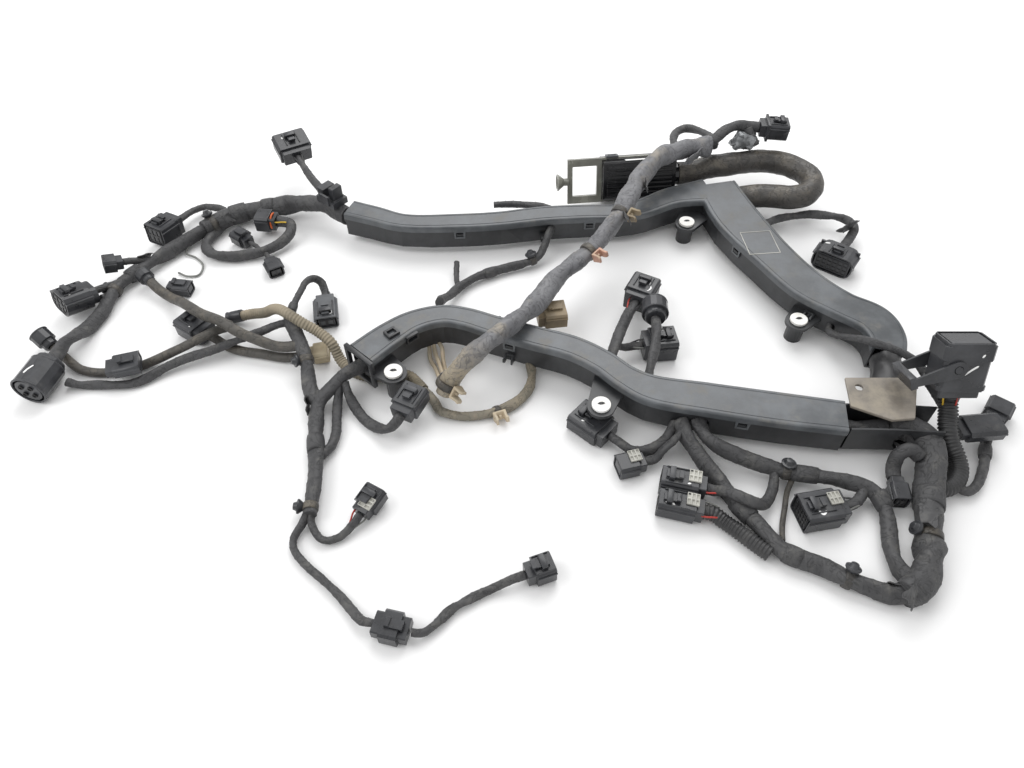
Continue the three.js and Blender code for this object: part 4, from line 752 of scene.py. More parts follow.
loom_tape = wound_tape("loom_tape", linear(50, 50, 52), linear(76, 76, 77), dust_grey, 0.36)
dusty_loom_tape = wound_tape(
    "dusty_loom_tape", linear(90, 91, 95), linear(124, 124, 126), dust_tan, 0.34, 0.021, 0.5, 28.0,
    (0.425, 0.47),
)
dusty_wrap = wound_tape(
    "dusty_wrap", linear(104, 100, 90), linear(136, 130, 116), dust_tan, 0.46, 0.012, 0.6, 45.0,
)
trunk_tape = wound_tape(
    "trunk_tape", linear(44, 43, 42), linear(74, 71, 68), dust_brown, 0.44, 0.024, 0.45, 40.0,
)
rubber_sheath = wound_tape(
    "rubber_sheath", linear(60, 58, 55), linear(86, 83, 78), dust_brown, 0.42, 0.4, 0.55,
)
ribbed_conduit = moulded("ribbed_conduit", linear(104, 98, 84), dust_tan, 0.65, 0.55)
black_conduit = moulded("black_conduit", linear(40, 40, 41), dust_grey, 0.45, 0.3)
lid_nylon = moulded("lid_nylon", linear(70, 73, 76), linear(108, 106, 101), 0.36, 0.34, 0.4)
front_lid_nylon = moulded("front_lid_nylon", linear(75, 78, 81), linear(118, 115, 109), 0.36, 0.36, 0.5)
tray_nylon = moulded("tray_nylon", linear(37, 38, 40), dust_grey, 0.38, 0.2, 0.4)
plug_nylon = moulded("plug_nylon", linear(43, 44, 47), dust_grey, 0.32, 0.28, 0.6)
# Dark nylon of the contact blocks and cups, which the pin slots also use as painted shade
socket_nylon_and_slot_shade = moulded("socket_nylon_and_slot_shade", linear(26, 26, 27), dust_grey, 0.5, 0.15, 0.2)
grey_nylon = moulded("grey_nylon", linear(70, 72, 75), dust_grey, 0.42, 0.3)
brown_nylon = moulded("brown_nylon", linear(120, 106, 84), linear(150, 138, 116), 0.55, 0.45)
beige_nylon = moulded("beige_nylon", linear(146, 134, 110), linear(176, 166, 144), 0.55, 0.4)
gloss_nylon = moulded("gloss_nylon", linear(16, 16, 18), dust_grey, 0.2, 0.14, 0.3)
clear_nylon = moulded("clear_nylon", linear(116, 116, 108), dust_grey, 0.25, 0.1, 0.1)
comb_nylon = moulded("comb_nylon", linear(160, 159, 152), dust_tan, 0.45, 0.25)
bracket_paint = moulded("bracket_paint", linear(112, 106, 98), linear(150, 142, 128), 0.45, 0.45, 0.8)
pin_nylon = moulded("pin_nylon", linear(226, 224, 218), linear(190, 180, 160), 0.4, 0.2)
white_paint = moulded("white_paint", linear(236, 236, 234), dust_grey, 0.6, 0.06, 0.1)
copper_clip = moulded("copper_clip", linear(160, 124, 108), linear(182, 166, 146), 0.5, 0.5)
beige_clip = moulded("beige_clip", linear(162, 148, 126), linear(186, 176, 156), 0.55, 0.5)
seal_rubber = moulded("seal_rubber", linear(186, 84, 30), dust_tan, 0.55, 0.2)
yellow_wire = moulded("yellow_wire", linear(196, 160, 40), dust_tan, 0.4, 0.1)
red_wire = moulded("red_wire", linear(150, 40, 32), dust_tan, 0.4, 0.1)
pale_wire = moulded("pale_wire", linear(96, 97, 94), dust_tan, 0.45, 0.1)
foil_tape = moulded("foil_tape", linear(126, 128, 130), linear(150, 146, 138), 0.35, 0.3, 0.8, 300.0)
clear_nylon.node_tree.nodes["Principled BSDF"].inputs["Transmission Weight"].default_value = 0.15
for shiny in (copper_clip, foil_tape):
    shiny.node_tree.nodes["Principled BSDF"].inputs["Metallic"].default_value = 0.35
print(len(bpy.data.materials), "materials")

# %% [markdown]
# ## Laying the cords
#
# Each line of the list is one cord: what covers it, which solid it stands for, where its far
# end goes and what is fixed to it. Those with a plug at their first point are turned round,
# so that every cord leaves the harness at its start. A cord shorter than six times its own
# thickness is no free cord: it is a neck between a plug and the loom, and moves with both.

# %% Lay the cords
ROOT = "harness"

# Material and slot of each cover
COVERS = {
    "tape": (loom_tape, "tape"),
    "dusty": (dusty_loom_tape, "dusty_tape"),
    "sleeve": (trunk_tape, "tape"),
    "sheath": (rubber_sheath, "tape"),
    "conduit": (ribbed_conduit, "conduit"),
    "wrap": (dusty_wrap, "conduit"),
    "black_conduit": (black_conduit, "black_conduit"),
    "wire": (pale_wire, "tape"),
}

# Steps along a cord in metres, short where each rib needs six of them
STEPS = {"conduit": 0.00054, "black_conduit": 0.00054, "wire": 0.0015}
TAPE_STEP = 0.0014

# Diameters at both ends of the cords that taper
TAPERS = {"diagonal": (24, 19), "left_lower_trunk": (17, 13)}

# Plan points where a strap draws the winding in
WAISTS = {
    "diagonal": [(134, 121), (86, 77), (12, -16)],
    "left_lower_trunk": [(-414, 115)],
    "down_trunk": [(-176, -206)],
    "right_trunk": [(352, -236)],
}


def settle(piece, material, slot, *nodes, body=ROOT):
    """Give a finished piece its material and its place on the object."""
    piece.data.materials.clear()
    piece.data.materials.append(material)
    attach(piece, body)
    if nodes:
        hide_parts(*nodes)
    return piece


def nearest_step(line, near):
    """The number of the step of a line that lies nearest to a plan point."""
    wanted = in_metres((*near, 0)).to_2d()
    return min(range(1, len(line) - 1), key=lambda i: (line[i].to_2d() - wanted).length)


def lay(name, cover, node, turned=False):
    """One cord along its route, riding on the harness in place of its solid."""
    diameter, points = ROUTES[name]
    points = [in_metres(point) for point in points]
    if turned:
        points.reverse()
    line = smooth_line(points, STEPS.get(cover, TAPE_STEP))
    seed = 7.3 * (sorted(ROUTES).index(name) + 1)
    if cover in ("conduit", "black_conduit"):
        surface = conduit_ribs(diameter)
    elif cover == "sleeve":
        surface = sleeve_folds(diameter, seed)
    elif cover in ("sheath", "wire"):
        surface = smooth_sheath(diameter, seed)
    else:
        waists = [line_length(line[:nearest_step(line, near) + 1]) for near in WAISTS.get(name, [])]
        ends = TAPERS.get(name, (diameter, diameter))
        surface = tape_winding(ends, line_length(line), seed, waists)
    sides = 12 if diameter < 6 else 20 if diameter < 18 else 28
    piece = settle(tube_mesh(name, line, sides, surface), *COVERS[cover], node)
    return piece, line


# Name, cover and solid
NECKS = [
    ("sensor_branch_a", "tape", "rear_loom"), ("sensor_branch_b", "tape", "rear_loom"),
    ("upright_branch", "tape", "rear_loom"), ("oval_branch", "tape", "rear_loom"),
    ("under_branch", "tape", "rear_loom"), ("coil_branch_c", "tape", "front_loom"),
    ("grommet_drop", "tape", "diagonal_loom"), ("comb_branch", "tape", "right_loom"),
    ("small_branch", "tape", "right_loom"), ("boot_branch", "tape", "right_loom"),
    ("right_conduit", "black_conduit", "right_conduit"),
]
for name, cover, node in NECKS:
    lay(name, cover, node)

# Name, cover, solid, turned round, far end, stiffness, and the pieces on it
CORDS = [
    ("rear_duct_run", "tape", "rear_loom", False, "object", "stiff", []),
    ("left_trunk", "tape", "rear_loom", False, "object", "stiff", ["clip_tower"]),
    ("left_lower_trunk", "tape", "rear_loom", False, "plug", "medium", [
        "round_plug", "upright_branch", "upright_plug", "oval_branch", "oval_plug", "under_branch",
    ]),
    ("relay_branch", "tape", "rear_loom", False, "plug", "medium", ["relay_plug"]),
    ("coolant_branch", "tape", "rear_loom", False, "plug", "medium", ["coolant_plug"]),
    ("left_loop", "tape", "rear_loom", False, "plug", "medium", [
        "sealed_plug", "sensor_branch_a", "sensor_plug_a", "sensor_branch_b", "sensor_plug_b",
    ]),
    ("thin_loop", "wire", "rear_loom", False, "bare", "limp", []),
    ("cut_stub", "tape", "rear_loom", False, "bare", "stiff", []),
    ("cross_lead", "sheath", "cross_lead", True, "plug", "medium", ["cap_plug"]),
    ("lower_lead", "tape", "front_loom", True, "object", "medium", []),
    ("vent_lead", "sheath", "front_loom", True, "plug", "medium", ["vent_cap"]),
    ("blue_lead", "sheath", "blue_lead", True, "plug", "medium", ["elbow_plug", "beige_plug"]),
    ("left_conduit", "conduit", "left_conduit", True, "object", "medium", []),
    ("front_run", "tape", "front_loom", False, "object", "stiff", []),
    ("grey_branch", "tape", "front_loom", False, "plug", "medium", ["grey_plug"]),
    ("down_trunk", "tape", "front_loom", False, "object", "medium", []),
    ("down_branch", "tape", "front_loom", False, "object", "medium", []),
    ("square_branch", "tape", "front_loom", False, "plug", "medium", ["square_plug"]),
    ("injector_lead_a", "tape", "front_loom", False, "plug", "medium", ["injector_plug_a"]),
    ("injector_lead_b", "tape", "front_loom", False, "connector", "medium", ["coupler_plug"]),
    ("injector_lead_c", "tape", "injector_lead", False, "plug", "medium", ["injector_plug_b"]),
    ("coil_branch_a", "tape", "front_loom", False, "plug", "medium", [
        "coil_plug_a", "coil_branch_c", "coil_plug_c",
    ]),
    ("coil_branch_b", "tape", "front_loom", False, "plug", "medium", ["coil_plug_b"]),
    ("beige_loom", "wrap", "beige_loom", False, "object", "medium", []),
    ("diagonal", "dusty", "diagonal_loom", False, "object", "stiff", []),
    ("cross_branch", "tape", "rear_loom", False, "object", "medium", []),
    ("strand_stub", "tape", "rear_loom", False, "bare", "medium", []),
    ("top_loop", "tape", "diagonal_loom", False, "object", "medium", []),
    ("grommet_branch", "tape", "diagonal_loom", False, "plug", "medium", [
        "grommet_plug", "grommet_drop",
    ]),
    ("ecu_trunk", "sleeve", "ecu_loom", False, "object", "stiff", []),
    ("wide_branch", "tape", "wide_loom", False, "plug", "medium", ["wide_plug"]),
    ("side_cord", "tape", "right_loom", False, "object", "medium", []),
    ("right_loop", "black_conduit", "right_loom", True, "plug", "stiff", ["lever_plug_body"]),
    ("ring_branch", "tape", "right_loom", False, "plug", "medium", ["ring_plug"]),
    ("right_trunk", "tape", "right_loom", False, "object", "stiff", ["boot_branch", "boot_plug"]),
    ("bottom_trunk", "tape", "right_loom", False, "object", "medium", [
        "right_conduit", "twin_plug_front",
    ]),
    ("front_branch", "tape", "right_loom", False, "object", "medium", ["comb_branch", "comb_plug"]),
    ("twin_branch", "tape", "right_loom", True, "plug", "medium", ["twin_plug_back"]),
    ("thin_cord", "sheath", "right_loom", False, "object", "limp", []),
    ("ear_branch", "tape", "right_loom", False, "plug", "medium", [
        "ear_plug", "small_branch", "small_plug",
    ]),
]
SOLID_OF = {row[0]: row[2] for row in [*NECKS, *CORDS]}
for name, cover, node, turned, far_end, stiffness, fixed in CORDS:
    piece, line = lay(name, cover, node, turned)

# %% [markdown]
# ## Dressing the solids
#
# The solids carry the shape of the plugs and trays, but they come as loose triangles with
# knife-sharp edges. Moulded plastic never has those: its edges are rounded by a few tenths
# of a millimetre and catch a thin line of light. A Weld modifier joins the triangles and a
# Bevel modifier rounds what is left sharp, and both leave the solid itself as it is.

# %% Dress the solids
SAME_PLACE = 0.000002
SHARP_EDGE = 38


def dress(material, slot, *nodes, edge=0.0005):
    """Rounded edges and a material for solids that stay in view."""
    for name in nodes:
        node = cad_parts[name]
        weld = node.modifiers.new("joined", "WELD")
        weld.merge_threshold = SAME_PLACE
        bevel = node.modifiers.new("rounded", "BEVEL")
        bevel.width = edge
        bevel.segments = 2
        bevel.limit_method = "ANGLE"
        bevel.angle_limit = math.radians(SHARP_EDGE)
        node.data.materials.clear()
        node.data.materials.append(material)


PINS = ("hub_pin", "arm_pin", "left_pin", "middle_pin")
dress(tray_nylon, "tray", "rear_duct_tray", "front_duct_tray", edge=0.0007)
dress(
    plug_nylon, "plug", "relay_plug", "coolant_plug", "sensor_plug_a", "sensor_plug_b",
    "sealed_plug", "upright_plug", "oval_plug", "round_plug", "cap_plug", "vent_cap",
    "square_plug", "injector_plug_a", "injector_plug_b", "coil_plug_a", "coil_plug_b",
    "coil_plug_c", "ear_plug", "small_plug", "twin_plug_front", "comb_plug", "boot_plug",
    "ring_plug", "wide_plug", "grommet_plug", "flat_plug", "vent_plug", "paddle_plug",
    "coupler_plug", "clip_tower", "lever_plug_body", "lever_plug_lever", "elbow_plug",
    "twin_plug_back",
)
dress(grey_nylon, "grey_plug", "grey_plug")
dress(brown_nylon, "brown_plug", "brown_plug")
dress(beige_nylon, "beige_plug", "beige_plug")
dress(gloss_nylon, "gloss", "unit_plug_body", edge=0.0007)
dress(clear_nylon, "clear", "unit_plug_slide")
dress(bracket_paint, "bracket", "end_bracket", edge=0.0008)
dress(pin_nylon, "pin", *PINS, edge=0.0006)
print(sum(bool(node.modifiers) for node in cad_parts.values()), "solids dressed")

# %% [markdown]
# ## The duct lids
#
# Each lid is one long moulding that follows the duct through its bends and changes its
# width on the way. It could be cut from a plate, but then its rounded shoulders and the
# shallow line along each edge would be missing, and those are what the light picks out. So
# the section is drawn once and carried along the stations, where it is stretched to the
# width of each. The two arms of the rear lid are carried separately and united.

# %% Carry the lid section along the stations
LID_RISE = 2.3
LID_SKIRT = 5.0
LID_WALL = 1.6
SHOULDER = 2.0

# Distance from the edge and depth of the line that runs along each edge
EDGE_LINE = ((3.4, 0.0), (3.8, 0.5), (4.6, 0.5), (5.0, 0.0))


def lid_section(half, top):
    """The section of a lid: across and height, from one skirt over the top and back inside."""
    over = top + LID_RISE
    side = [(half, top - LID_SKIRT), (half, over - SHOULDER)]
    for turn in (22, 45, 68, 90):
        angle = math.radians(turn)
        side.append((
            half - SHOULDER + SHOULDER * math.cos(angle),
            over - SHOULDER + SHOULDER * math.sin(angle),
        ))
    side += [(half - inset, over - sunk) for inset, sunk in EDGE_LINE]
    inside = [(half - LID_WALL, top + 0.3), (half - LID_WALL, top - LID_SKIRT)]
    outer = side + [(-x, z) for x, z in reversed(side)]
    return outer + [(-x, z) for x, z in reversed(inside)] + inside


def flanks(stations):
    """Middle, direction and half width at close places along a duct."""
    dense = dense_line([Vector(station) for station in stations])[::3]
    places = []
    for i, spot in enumerate(dense):
        ahead = dense[min(i + 1, len(dense) - 1)] - dense[max(i - 1, 0)]
        along = Vector((ahead.x, ahead.y)).normalized()
        places.append((spot.x, spot.y, along, spot.z / 2))
    return places


def shade_by_angle(mesh, degrees):
    """Smooth faces, with the sharp edges kept."""
    for face in mesh.faces:
        face.smooth = True
    for line in mesh.edges:
        if len(line.link_faces) == 2:
            line.smooth = line.calc_face_angle() < math.radians(degrees)


def carried_lid(name, stations, top):
    """One arm of a lid, carried along its stations."""
    mesh = bmesh.new()
    rings = []
    for x, y, along, half in flanks(stations):
        ring = []
        for across, height in lid_section(half, top):
            ring.append(mesh.verts.new(in_metres((x + along.y * across, y - along.x * across, height))))
        rings.append(ring)
    count = len(rings[0])
    for first, second in zip(rings, rings[1:]):
        for k in range(count):
            mesh.faces.new((first[k], first[(k + 1) % count], second[(k + 1) % count], second[k]))
    mesh.faces.new(rings[0])
    mesh.faces.new(rings[-1])
    bmesh.ops.recalc_face_normals(mesh, faces=mesh.faces)
    shade_by_angle(mesh, 33)
    return object_from(mesh, name)


def only(piece):
    """Make a piece the only one selected, in object mode."""
    if bpy.context.mode != "OBJECT":
        bpy.ops.object.mode_set(mode="OBJECT")
    bpy.ops.object.select_all(action="DESELECT")
    piece.select_set(True)
    bpy.context.view_layer.objects.active = piece


def unite(piece, other):
    """Join another closed mesh to a piece, without what lies inside."""
    only(piece)
    cut = piece.modifiers.new("united", "BOOLEAN")
    cut.operation = "UNION"
    cut.solver = "EXACT"
    cut.object = other
    bpy.ops.object.modifier_apply(modifier=cut.name)
    bpy.data.objects.remove(other)


rear_lid = carried_lid("rear_lid_moulding", REAR_ARM, REAR_TOP)
rear_leg = carried_lid("rear_leg_moulding", REAR_LEG, REAR_TOP)
unite(rear_lid, rear_leg)
settle(rear_lid, lid_nylon, "lid", "rear_duct_lid")
front_lid = carried_lid("front_lid_moulding", FRONT_ARM, FRONT_TOP)
settle(front_lid, front_lid_nylon, "lid", "front_duct_lid")
print("lids with", len(rear_lid.data.polygons), "and", len(front_lid.data.polygons), "faces")

# %% [markdown]
# ## Latch windows
#
# Each lid is held by tabs that hang from its edge. A wedge on the tray snaps into the
# window of each tab. One tab is modelled at the origin: a plate is inset on its two large
# faces, and the inset faces are bridged to make the window. Its lower edge is drawn in a
# little, as the mould needs it. The copies are then turned to their places on the flanks,
# and each gets a mesh of its own.

# %% Model one latch tab and copy it
def primitive(name, add, scale=(1.0, 1.0, 1.0), **settings):
    """A primitive at the origin with its scale applied, made in object mode."""
    bpy.ops.object.select_all(action="DESELECT")
    add(**settings)
    piece = bpy.context.object
    piece.name = piece.data.name = name
    piece.scale = scale
    bpy.ops.object.transform_apply(location=False, rotation=False, scale=True)
    return piece


def box_piece(name, length, width, height):
    """A box at the origin, with its sides given in millimetres."""
    scale = (length / 1000, width / 1000, height / 1000)
    return primitive(name, bpy.ops.mesh.primitive_cube_add, scale, size=1.0)


def grid_piece(name, columns, rows, length=1.0, width=1.0):
    """A flat grid of faces at the origin, with its sides given in millimetres."""
    settings = {"x_subdivisions": columns, "y_subdivisions": rows, "size": 0.001}
    return primitive(name, bpy.ops.mesh.primitive_grid_add, (length, width, 1), **settings)


def disk_piece(name, sides, radius, depth):
    """A disk at the origin, with its measures given in metres."""
    settings = {"vertices": sides, "radius": radius, "depth": depth}
    return primitive(name, bpy.ops.mesh.primitive_cylinder_add, **settings)


def draw_out(height):
    """Extrude the selected faces together along Z, by metres."""
    bpy.ops.mesh.extrude_region_move(TRANSFORM_OT_translate={"value": (0, 0, height)})


def turned(degrees, axis):
    """A turn about an axis."""
    return Matrix.Rotation(math.radians(degrees), 4, axis)


def pick(piece, wanted):
    """Enter edit mode with just the faces selected that pass a test of centre and normal."""
    only(piece)
    bpy.ops.object.mode_set(mode="EDIT")
    bpy.ops.mesh.select_mode(type="FACE")
    bpy.ops.mesh.select_all(action="DESELECT")
    mesh = bmesh.from_edit_mesh(piece.data)
    for face in mesh.faces:
        face.select_set(wanted(face.calc_center_median() * 1000, face.normal))
    bmesh.update_edit_mesh(piece.data)


def rounded(piece, width, segments=2, degrees=30):
    """Round the sharp edges of a piece by a modifier that is applied at once."""
    bpy.ops.object.mode_set(mode="OBJECT")
    only(piece)
    bevel = piece.modifiers.new("rounded", "BEVEL")
    bevel.width = width / 1000
    bevel.segments = segments
    bevel.limit_method = "ANGLE"
    bevel.angle_limit = math.radians(degrees)
    bpy.ops.object.modifier_apply(modifier=bevel.name)
    bpy.ops.object.shade_smooth_by_angle(angle=math.radians(40))
    return piece


def copy_of(piece, name, pose):
    """A copy with a mesh of its own, moved to its pose and left at the origin."""
    made = piece.copy()
    made.data = piece.data.copy()
    made.name = made.data.name = name
    made.data.transform(pose)
    bpy.context.collection.objects.link(made)
    return made


def flank_pose(stations, share, side, height, depth=0.0):
    """The pose on a duct's flank: X along the duct, Y out of it and Z up."""
    dense = dense_line([Vector(station) for station in stations])
    at = round(share * (len(dense) - 1))
    spot = dense[at]
    edges = []
    for near in (dense[at - 2], dense[at + 2]):
        ahead = dense[at + 2] - dense[at - 2]
        unit = Vector((ahead.x, ahead.y)).normalized() * side * near.z / 2
        edges.append(Vector((near.x - unit.y, near.y + unit.x, 0)))
    along = (edges[1] - edges[0]).normalized() * side
    out = Vector((-along.y, along.x, 0))
    middle = (edges[0] + edges[1]) / 2 - out * depth
    return pose_at(in_metres((middle.x, middle.y, height)), along, out, Vector((0, 0, 1)))


tab = box_piece("latch_tab", 14, 1.8, 12)
pick(tab, lambda centre, normal: abs(normal.y) > 0.9)
bpy.ops.mesh.inset(thickness=0.0028, depth=0.0)
bpy.ops.transform.translate(value=(0, 0, -0.0006))
bpy.ops.mesh.bridge_edge_loops()
pick(tab, lambda centre, normal: normal.z < -0.9 and centre.z < -5)
bpy.ops.transform.resize(value=(0.86, 0.7, 1.0))
rounded(tab, 0.35)
wedge = box_piece("latch_wedge", 7, 2.2, 2.4)
pick(wedge, lambda centre, normal: normal.y > 0.9)
bpy.ops.transform.translate(value=(0, 0, -0.0005))
bpy.ops.transform.resize(value=(1.0, 1.0, 0.5))
rounded(wedge, 0.25)

# Stations of the duct, share of its length and side
CATCHES = [
    (REAR_ARM, 0.3, -1), (REAR_ARM, 0.3, 1), (REAR_ARM, 0.6, -1), (REAR_LEG, 3 / 14, -1),
    (REAR_LEG, 3 / 14, 1), (FRONT_ARM, 11 / 26, -1), (FRONT_ARM, 13 / 26, 1), (FRONT_ARM, 23 / 26, -1),
    (FRONT_ARM, 23 / 26, 1),
]

# How far below the edge of the tray each sits, and how far inside the flank
TAB_DROP, TAB_DEPTH = 8.5, 0.7
WEDGE_DROP, WEDGE_DEPTH = 9.5, 1.3
for number, (stations, share, side) in enumerate(CATCHES, 1):
    if stations is FRONT_ARM:
        node, top, finish = "front_duct_lid", FRONT_TOP, front_lid_nylon
    else:
        node, top, finish = "rear_duct_lid", REAR_TOP, lid_nylon
    pose = flank_pose(stations, share, side, top - TAB_DROP, TAB_DEPTH)
    settle(copy_of(tab, f"latch_tab_{number}", pose), finish, "lid", node)
    pose = flank_pose(stations, share, side, top - WEDGE_DROP, WEDGE_DEPTH)
    settle(copy_of(wedge, f"latch_wedge_{number}", pose), grey_nylon, "tray", node)
for piece in (tab, wedge):
    bpy.data.objects.remove(piece)
print(len(CATCHES), "latch tabs")

# %% [markdown]
# ## What the plugs have in common
#
# A plug is known by its two ends. In front there is a block with a cavity for each contact,
# and behind it the wires come out between the lips of a seal before the tape takes them.
# A block of cavities is a grid whose faces are inset one by one and pushed in. It is made
# for two, six and eighteen contacts and copied for the plugs whose front is in view, each
# copy stretched to its plug. What sits on a plug is placed from the end of its cord.

# %% Model a block of cavities and place it in the plugs
# The cord of each plug, which ends at it
CORD_OF = {
    "relay_plug": "relay_branch", "coolant_plug": "coolant_branch", "oval_plug": "oval_branch",
    "sensor_plug_b": "sensor_branch_b", "upright_plug": "upright_branch", "ear_plug": "ear_branch",
    "comb_plug": "comb_branch", "wide_plug": "wide_branch", "square_plug": "square_branch",
    "injector_plug_a": "injector_lead_a", "injector_plug_b": "injector_lead_c",
    "coil_plug_a": "coil_branch_a", "coil_plug_b": "coil_branch_b", "coil_plug_c": "coil_branch_c",
    "boot_plug": "boot_branch", "grey_plug": "grey_branch", "ring_plug": "ring_branch",
    "grommet_plug": "grommet_branch", "sealed_plug": "left_loop", "round_plug": "left_lower_trunk",
    "small_plug": "small_branch",
}

# The cord of each plug that sits at the first point of its cord
CORD_FROM = {
    "twin_plug_back": "twin_branch", "twin_plug_front": "right_conduit", "elbow_plug": "blue_lead",
    "lever_plug": "right_loop", "lever_plug_body": "right_loop", "cap_plug": "cross_lead",
    "vent_cap": "vent_lead", "conduit_cap": "left_conduit",
}

# Length of each plug from its cord side, and the height of its top over the middle of its cord
LENGTHS = {
    "relay_plug": 34, "coolant_plug": 34, "oval_plug": 36, "sensor_plug_b": 24, "upright_plug": 20,
    "ear_plug": 40, "comb_plug": 40, "twin_plug_back": 40, "twin_plug_front": 40, "wide_plug": 28,
    "square_plug": 32, "injector_plug_a": 26, "injector_plug_b": 24, "coil_plug_a": 34,
    "coil_plug_c": 34, "boot_plug": 24, "grey_plug": 38, "ring_plug": 26, "grommet_plug": 34,
    "elbow_plug": 34,
}
TOPS = {
    "relay_plug": 11, "coolant_plug": 13, "oval_plug": 12, "elbow_plug": 11, "grey_plug": 8,
    "square_plug": 10, "injector_plug_a": 9, "ear_plug": 10, "injector_plug_b": 10, "comb_plug": 11,
    "coil_plug_a": 13, "coil_plug_c": 13, "twin_plug_back": 11, "twin_plug_front": 10,
    "wide_plug": 13, "grommet_plug": 10, "round_plug": 17, "lever_plug": 15, "small_plug": 8,
}


def plug_pose(plug, along=0.0, across=0.0, up=0.0):
    """A place on a plug: millimetres along it from its cord side, across it and up."""
    route = CORD_OF.get(plug) or CORD_FROM[plug]
    points = [Vector(point) for point in ROUTES[route][1]]
    if plug in CORD_FROM:
        points.reverse()
    ahead = (points[-1] - points[-2]).normalized()
    side = Vector((0, 0, 1)).cross(ahead).normalized()
    top = ahead.cross(side)
    origin = points[-1] + ahead * (0.3 + along) + side * across + top * up
    return pose_at(in_metres(origin), ahead, side, top)


def cavity_block(name, columns, rows):
    """A plate one millimetre wide and high, with rows of sunk cavities, facing along X."""
    piece = grid_piece(name, columns, rows)
    pick(piece, lambda centre, normal: True)
    bpy.ops.mesh.inset(thickness=0.00018 / max(columns, rows), depth=0.0, use_individual=True)
    draw_out(-0.0014)
    bpy.ops.object.mode_set(mode="OBJECT")
    piece.data.transform(turned(90, "Z") @ turned(90, "X"))
    return piece


CAVITIES = {grid: cavity_block(f"cavities_{grid[0]}_{grid[1]}", *grid) for grid in ((2, 1), (3, 2), (6, 3))}

# Plug, width and height of its block, and the grid of it
FACES = [
    ("relay_plug", 32, 14, (3, 2)), ("coolant_plug", 20, 18, (3, 2)), ("oval_plug", 26, 16, (3, 2)),
    ("sensor_plug_b", 11, 7, (2, 1)), ("upright_plug", 11, 9, (2, 1)), ("ear_plug", 22, 12, (3, 2)),
    ("comb_plug", 22, 14, (6, 3)), ("twin_plug_back", 12, 14, (2, 1)),
    ("twin_plug_front", 12, 12, (2, 1)), ("wide_plug", 36, 16, (6, 3)),
    ("square_plug", 18, 12, (2, 1)), ("injector_plug_a", 12, 10, (2, 1)),
    ("injector_plug_b", 12, 12, (2, 1)), ("coil_plug_c", 20, 18, (2, 1)),
    ("boot_plug", 8, 9, (2, 1)), ("grey_plug", 16, 8, (2, 1)), ("ring_plug", 14, 8, (2, 1)),
    ("grommet_plug", 16, 12, (3, 2)), ("elbow_plug", 20, 14, (3, 2)),
]
for plug, width, height, grid in FACES:
    stretch = Matrix.Diagonal((1.0, width, height, 1.0))
    block = copy_of(CAVITIES[grid], f"{plug}_cavities", stretch)
    block.data.transform(plug_pose(plug, along=LENGTHS[plug] + 0.15))
    settle(block, socket_nylon_and_slot_shade, "plug")
for block in CAVITIES.values():
    bpy.data.objects.remove(block)
print(len(FACES), "blocks of cavities")

# %% [markdown]
# ## Wires, seals and paint
#
# The few colours of the harness are tiny: wires between a plug and its tape, an orange seal,
# and the dabs of white paint on the plugs. They matter more than their size, because they
# show where a dark plug ends and a dark cord begins. A dab is a short flattened stroke. It
# lies on the plug and isn't painted in its material, since it has a thickness that catches
# light.

# %% Add wires, seals and dabs of paint
def local_tube(name, points, diameter, pose, material, flatten=1.0, sides=8):
    """A short tube through points that are given in millimetres on a plug."""
    line = smooth_line([Vector(point) / 1000 for point in points], 0.0006)
    total = line_length(line)

    def stand_off(distance, angle):
        end = min(distance, total - distance) / (diameter / 2000)
        return diameter / 2000 * (1.0 if flatten == 1.0 else min(1.0, 0.35 + 0.65 * end))

    piece = tube_mesh(name, line, sides, stand_off)
    piece.data.transform(pose @ Matrix.Diagonal((1.0, 1.0, flatten, 1.0)))
    return settle(piece, material, "plug")


WIRE = 1.7
WIRE_SPREAD = 4.0


def wire_tuft(plug, materials):
    """Wires that leave a plug and run together under the tape."""
    cord = ROUTES[CORD_OF.get(plug) or CORD_FROM[plug]][0] / 2
    reach = cord + WIRE_SPREAD
    for number, material in enumerate(materials):
        angle = 2 * math.pi * number / len(materials) + 0.6
        y, z = math.cos(angle), math.sin(angle)
        points = [(2, reach * 0.8 * y, reach * 0.6 * z), (-3, reach * 0.8 * y, reach * 0.65 * z),
                  (-8, (cord + 0.6) * y, (cord + 0.4) * z), (-13, (cord - 1) * y, (cord - 1) * z)]
        local_tube(f"{plug}_wire_{number + 1}", points, WIRE, plug_pose(plug), material)


WIRES = {
    "relay_plug": [loom_tape, loom_tape, pale_wire, loom_tape],
    "sealed_plug": [yellow_wire, loom_tape],
    "twin_plug_front": [red_wire, pale_wire, red_wire],
    "twin_plug_back": [red_wire, loom_tape],
    "comb_plug": [pale_wire, loom_tape, loom_tape],
    "coil_plug_a": [red_wire, loom_tape, pale_wire],
    "coil_plug_c": [loom_tape, pale_wire, loom_tape],
    "lever_plug_body": [yellow_wire, red_wire, red_wire, loom_tape, pale_wire],
    "injector_plug_a": [red_wire, pale_wire],
    "grey_plug": [loom_tape, pale_wire],
}
for plug, materials in WIRES.items():
    wire_tuft(plug, materials)

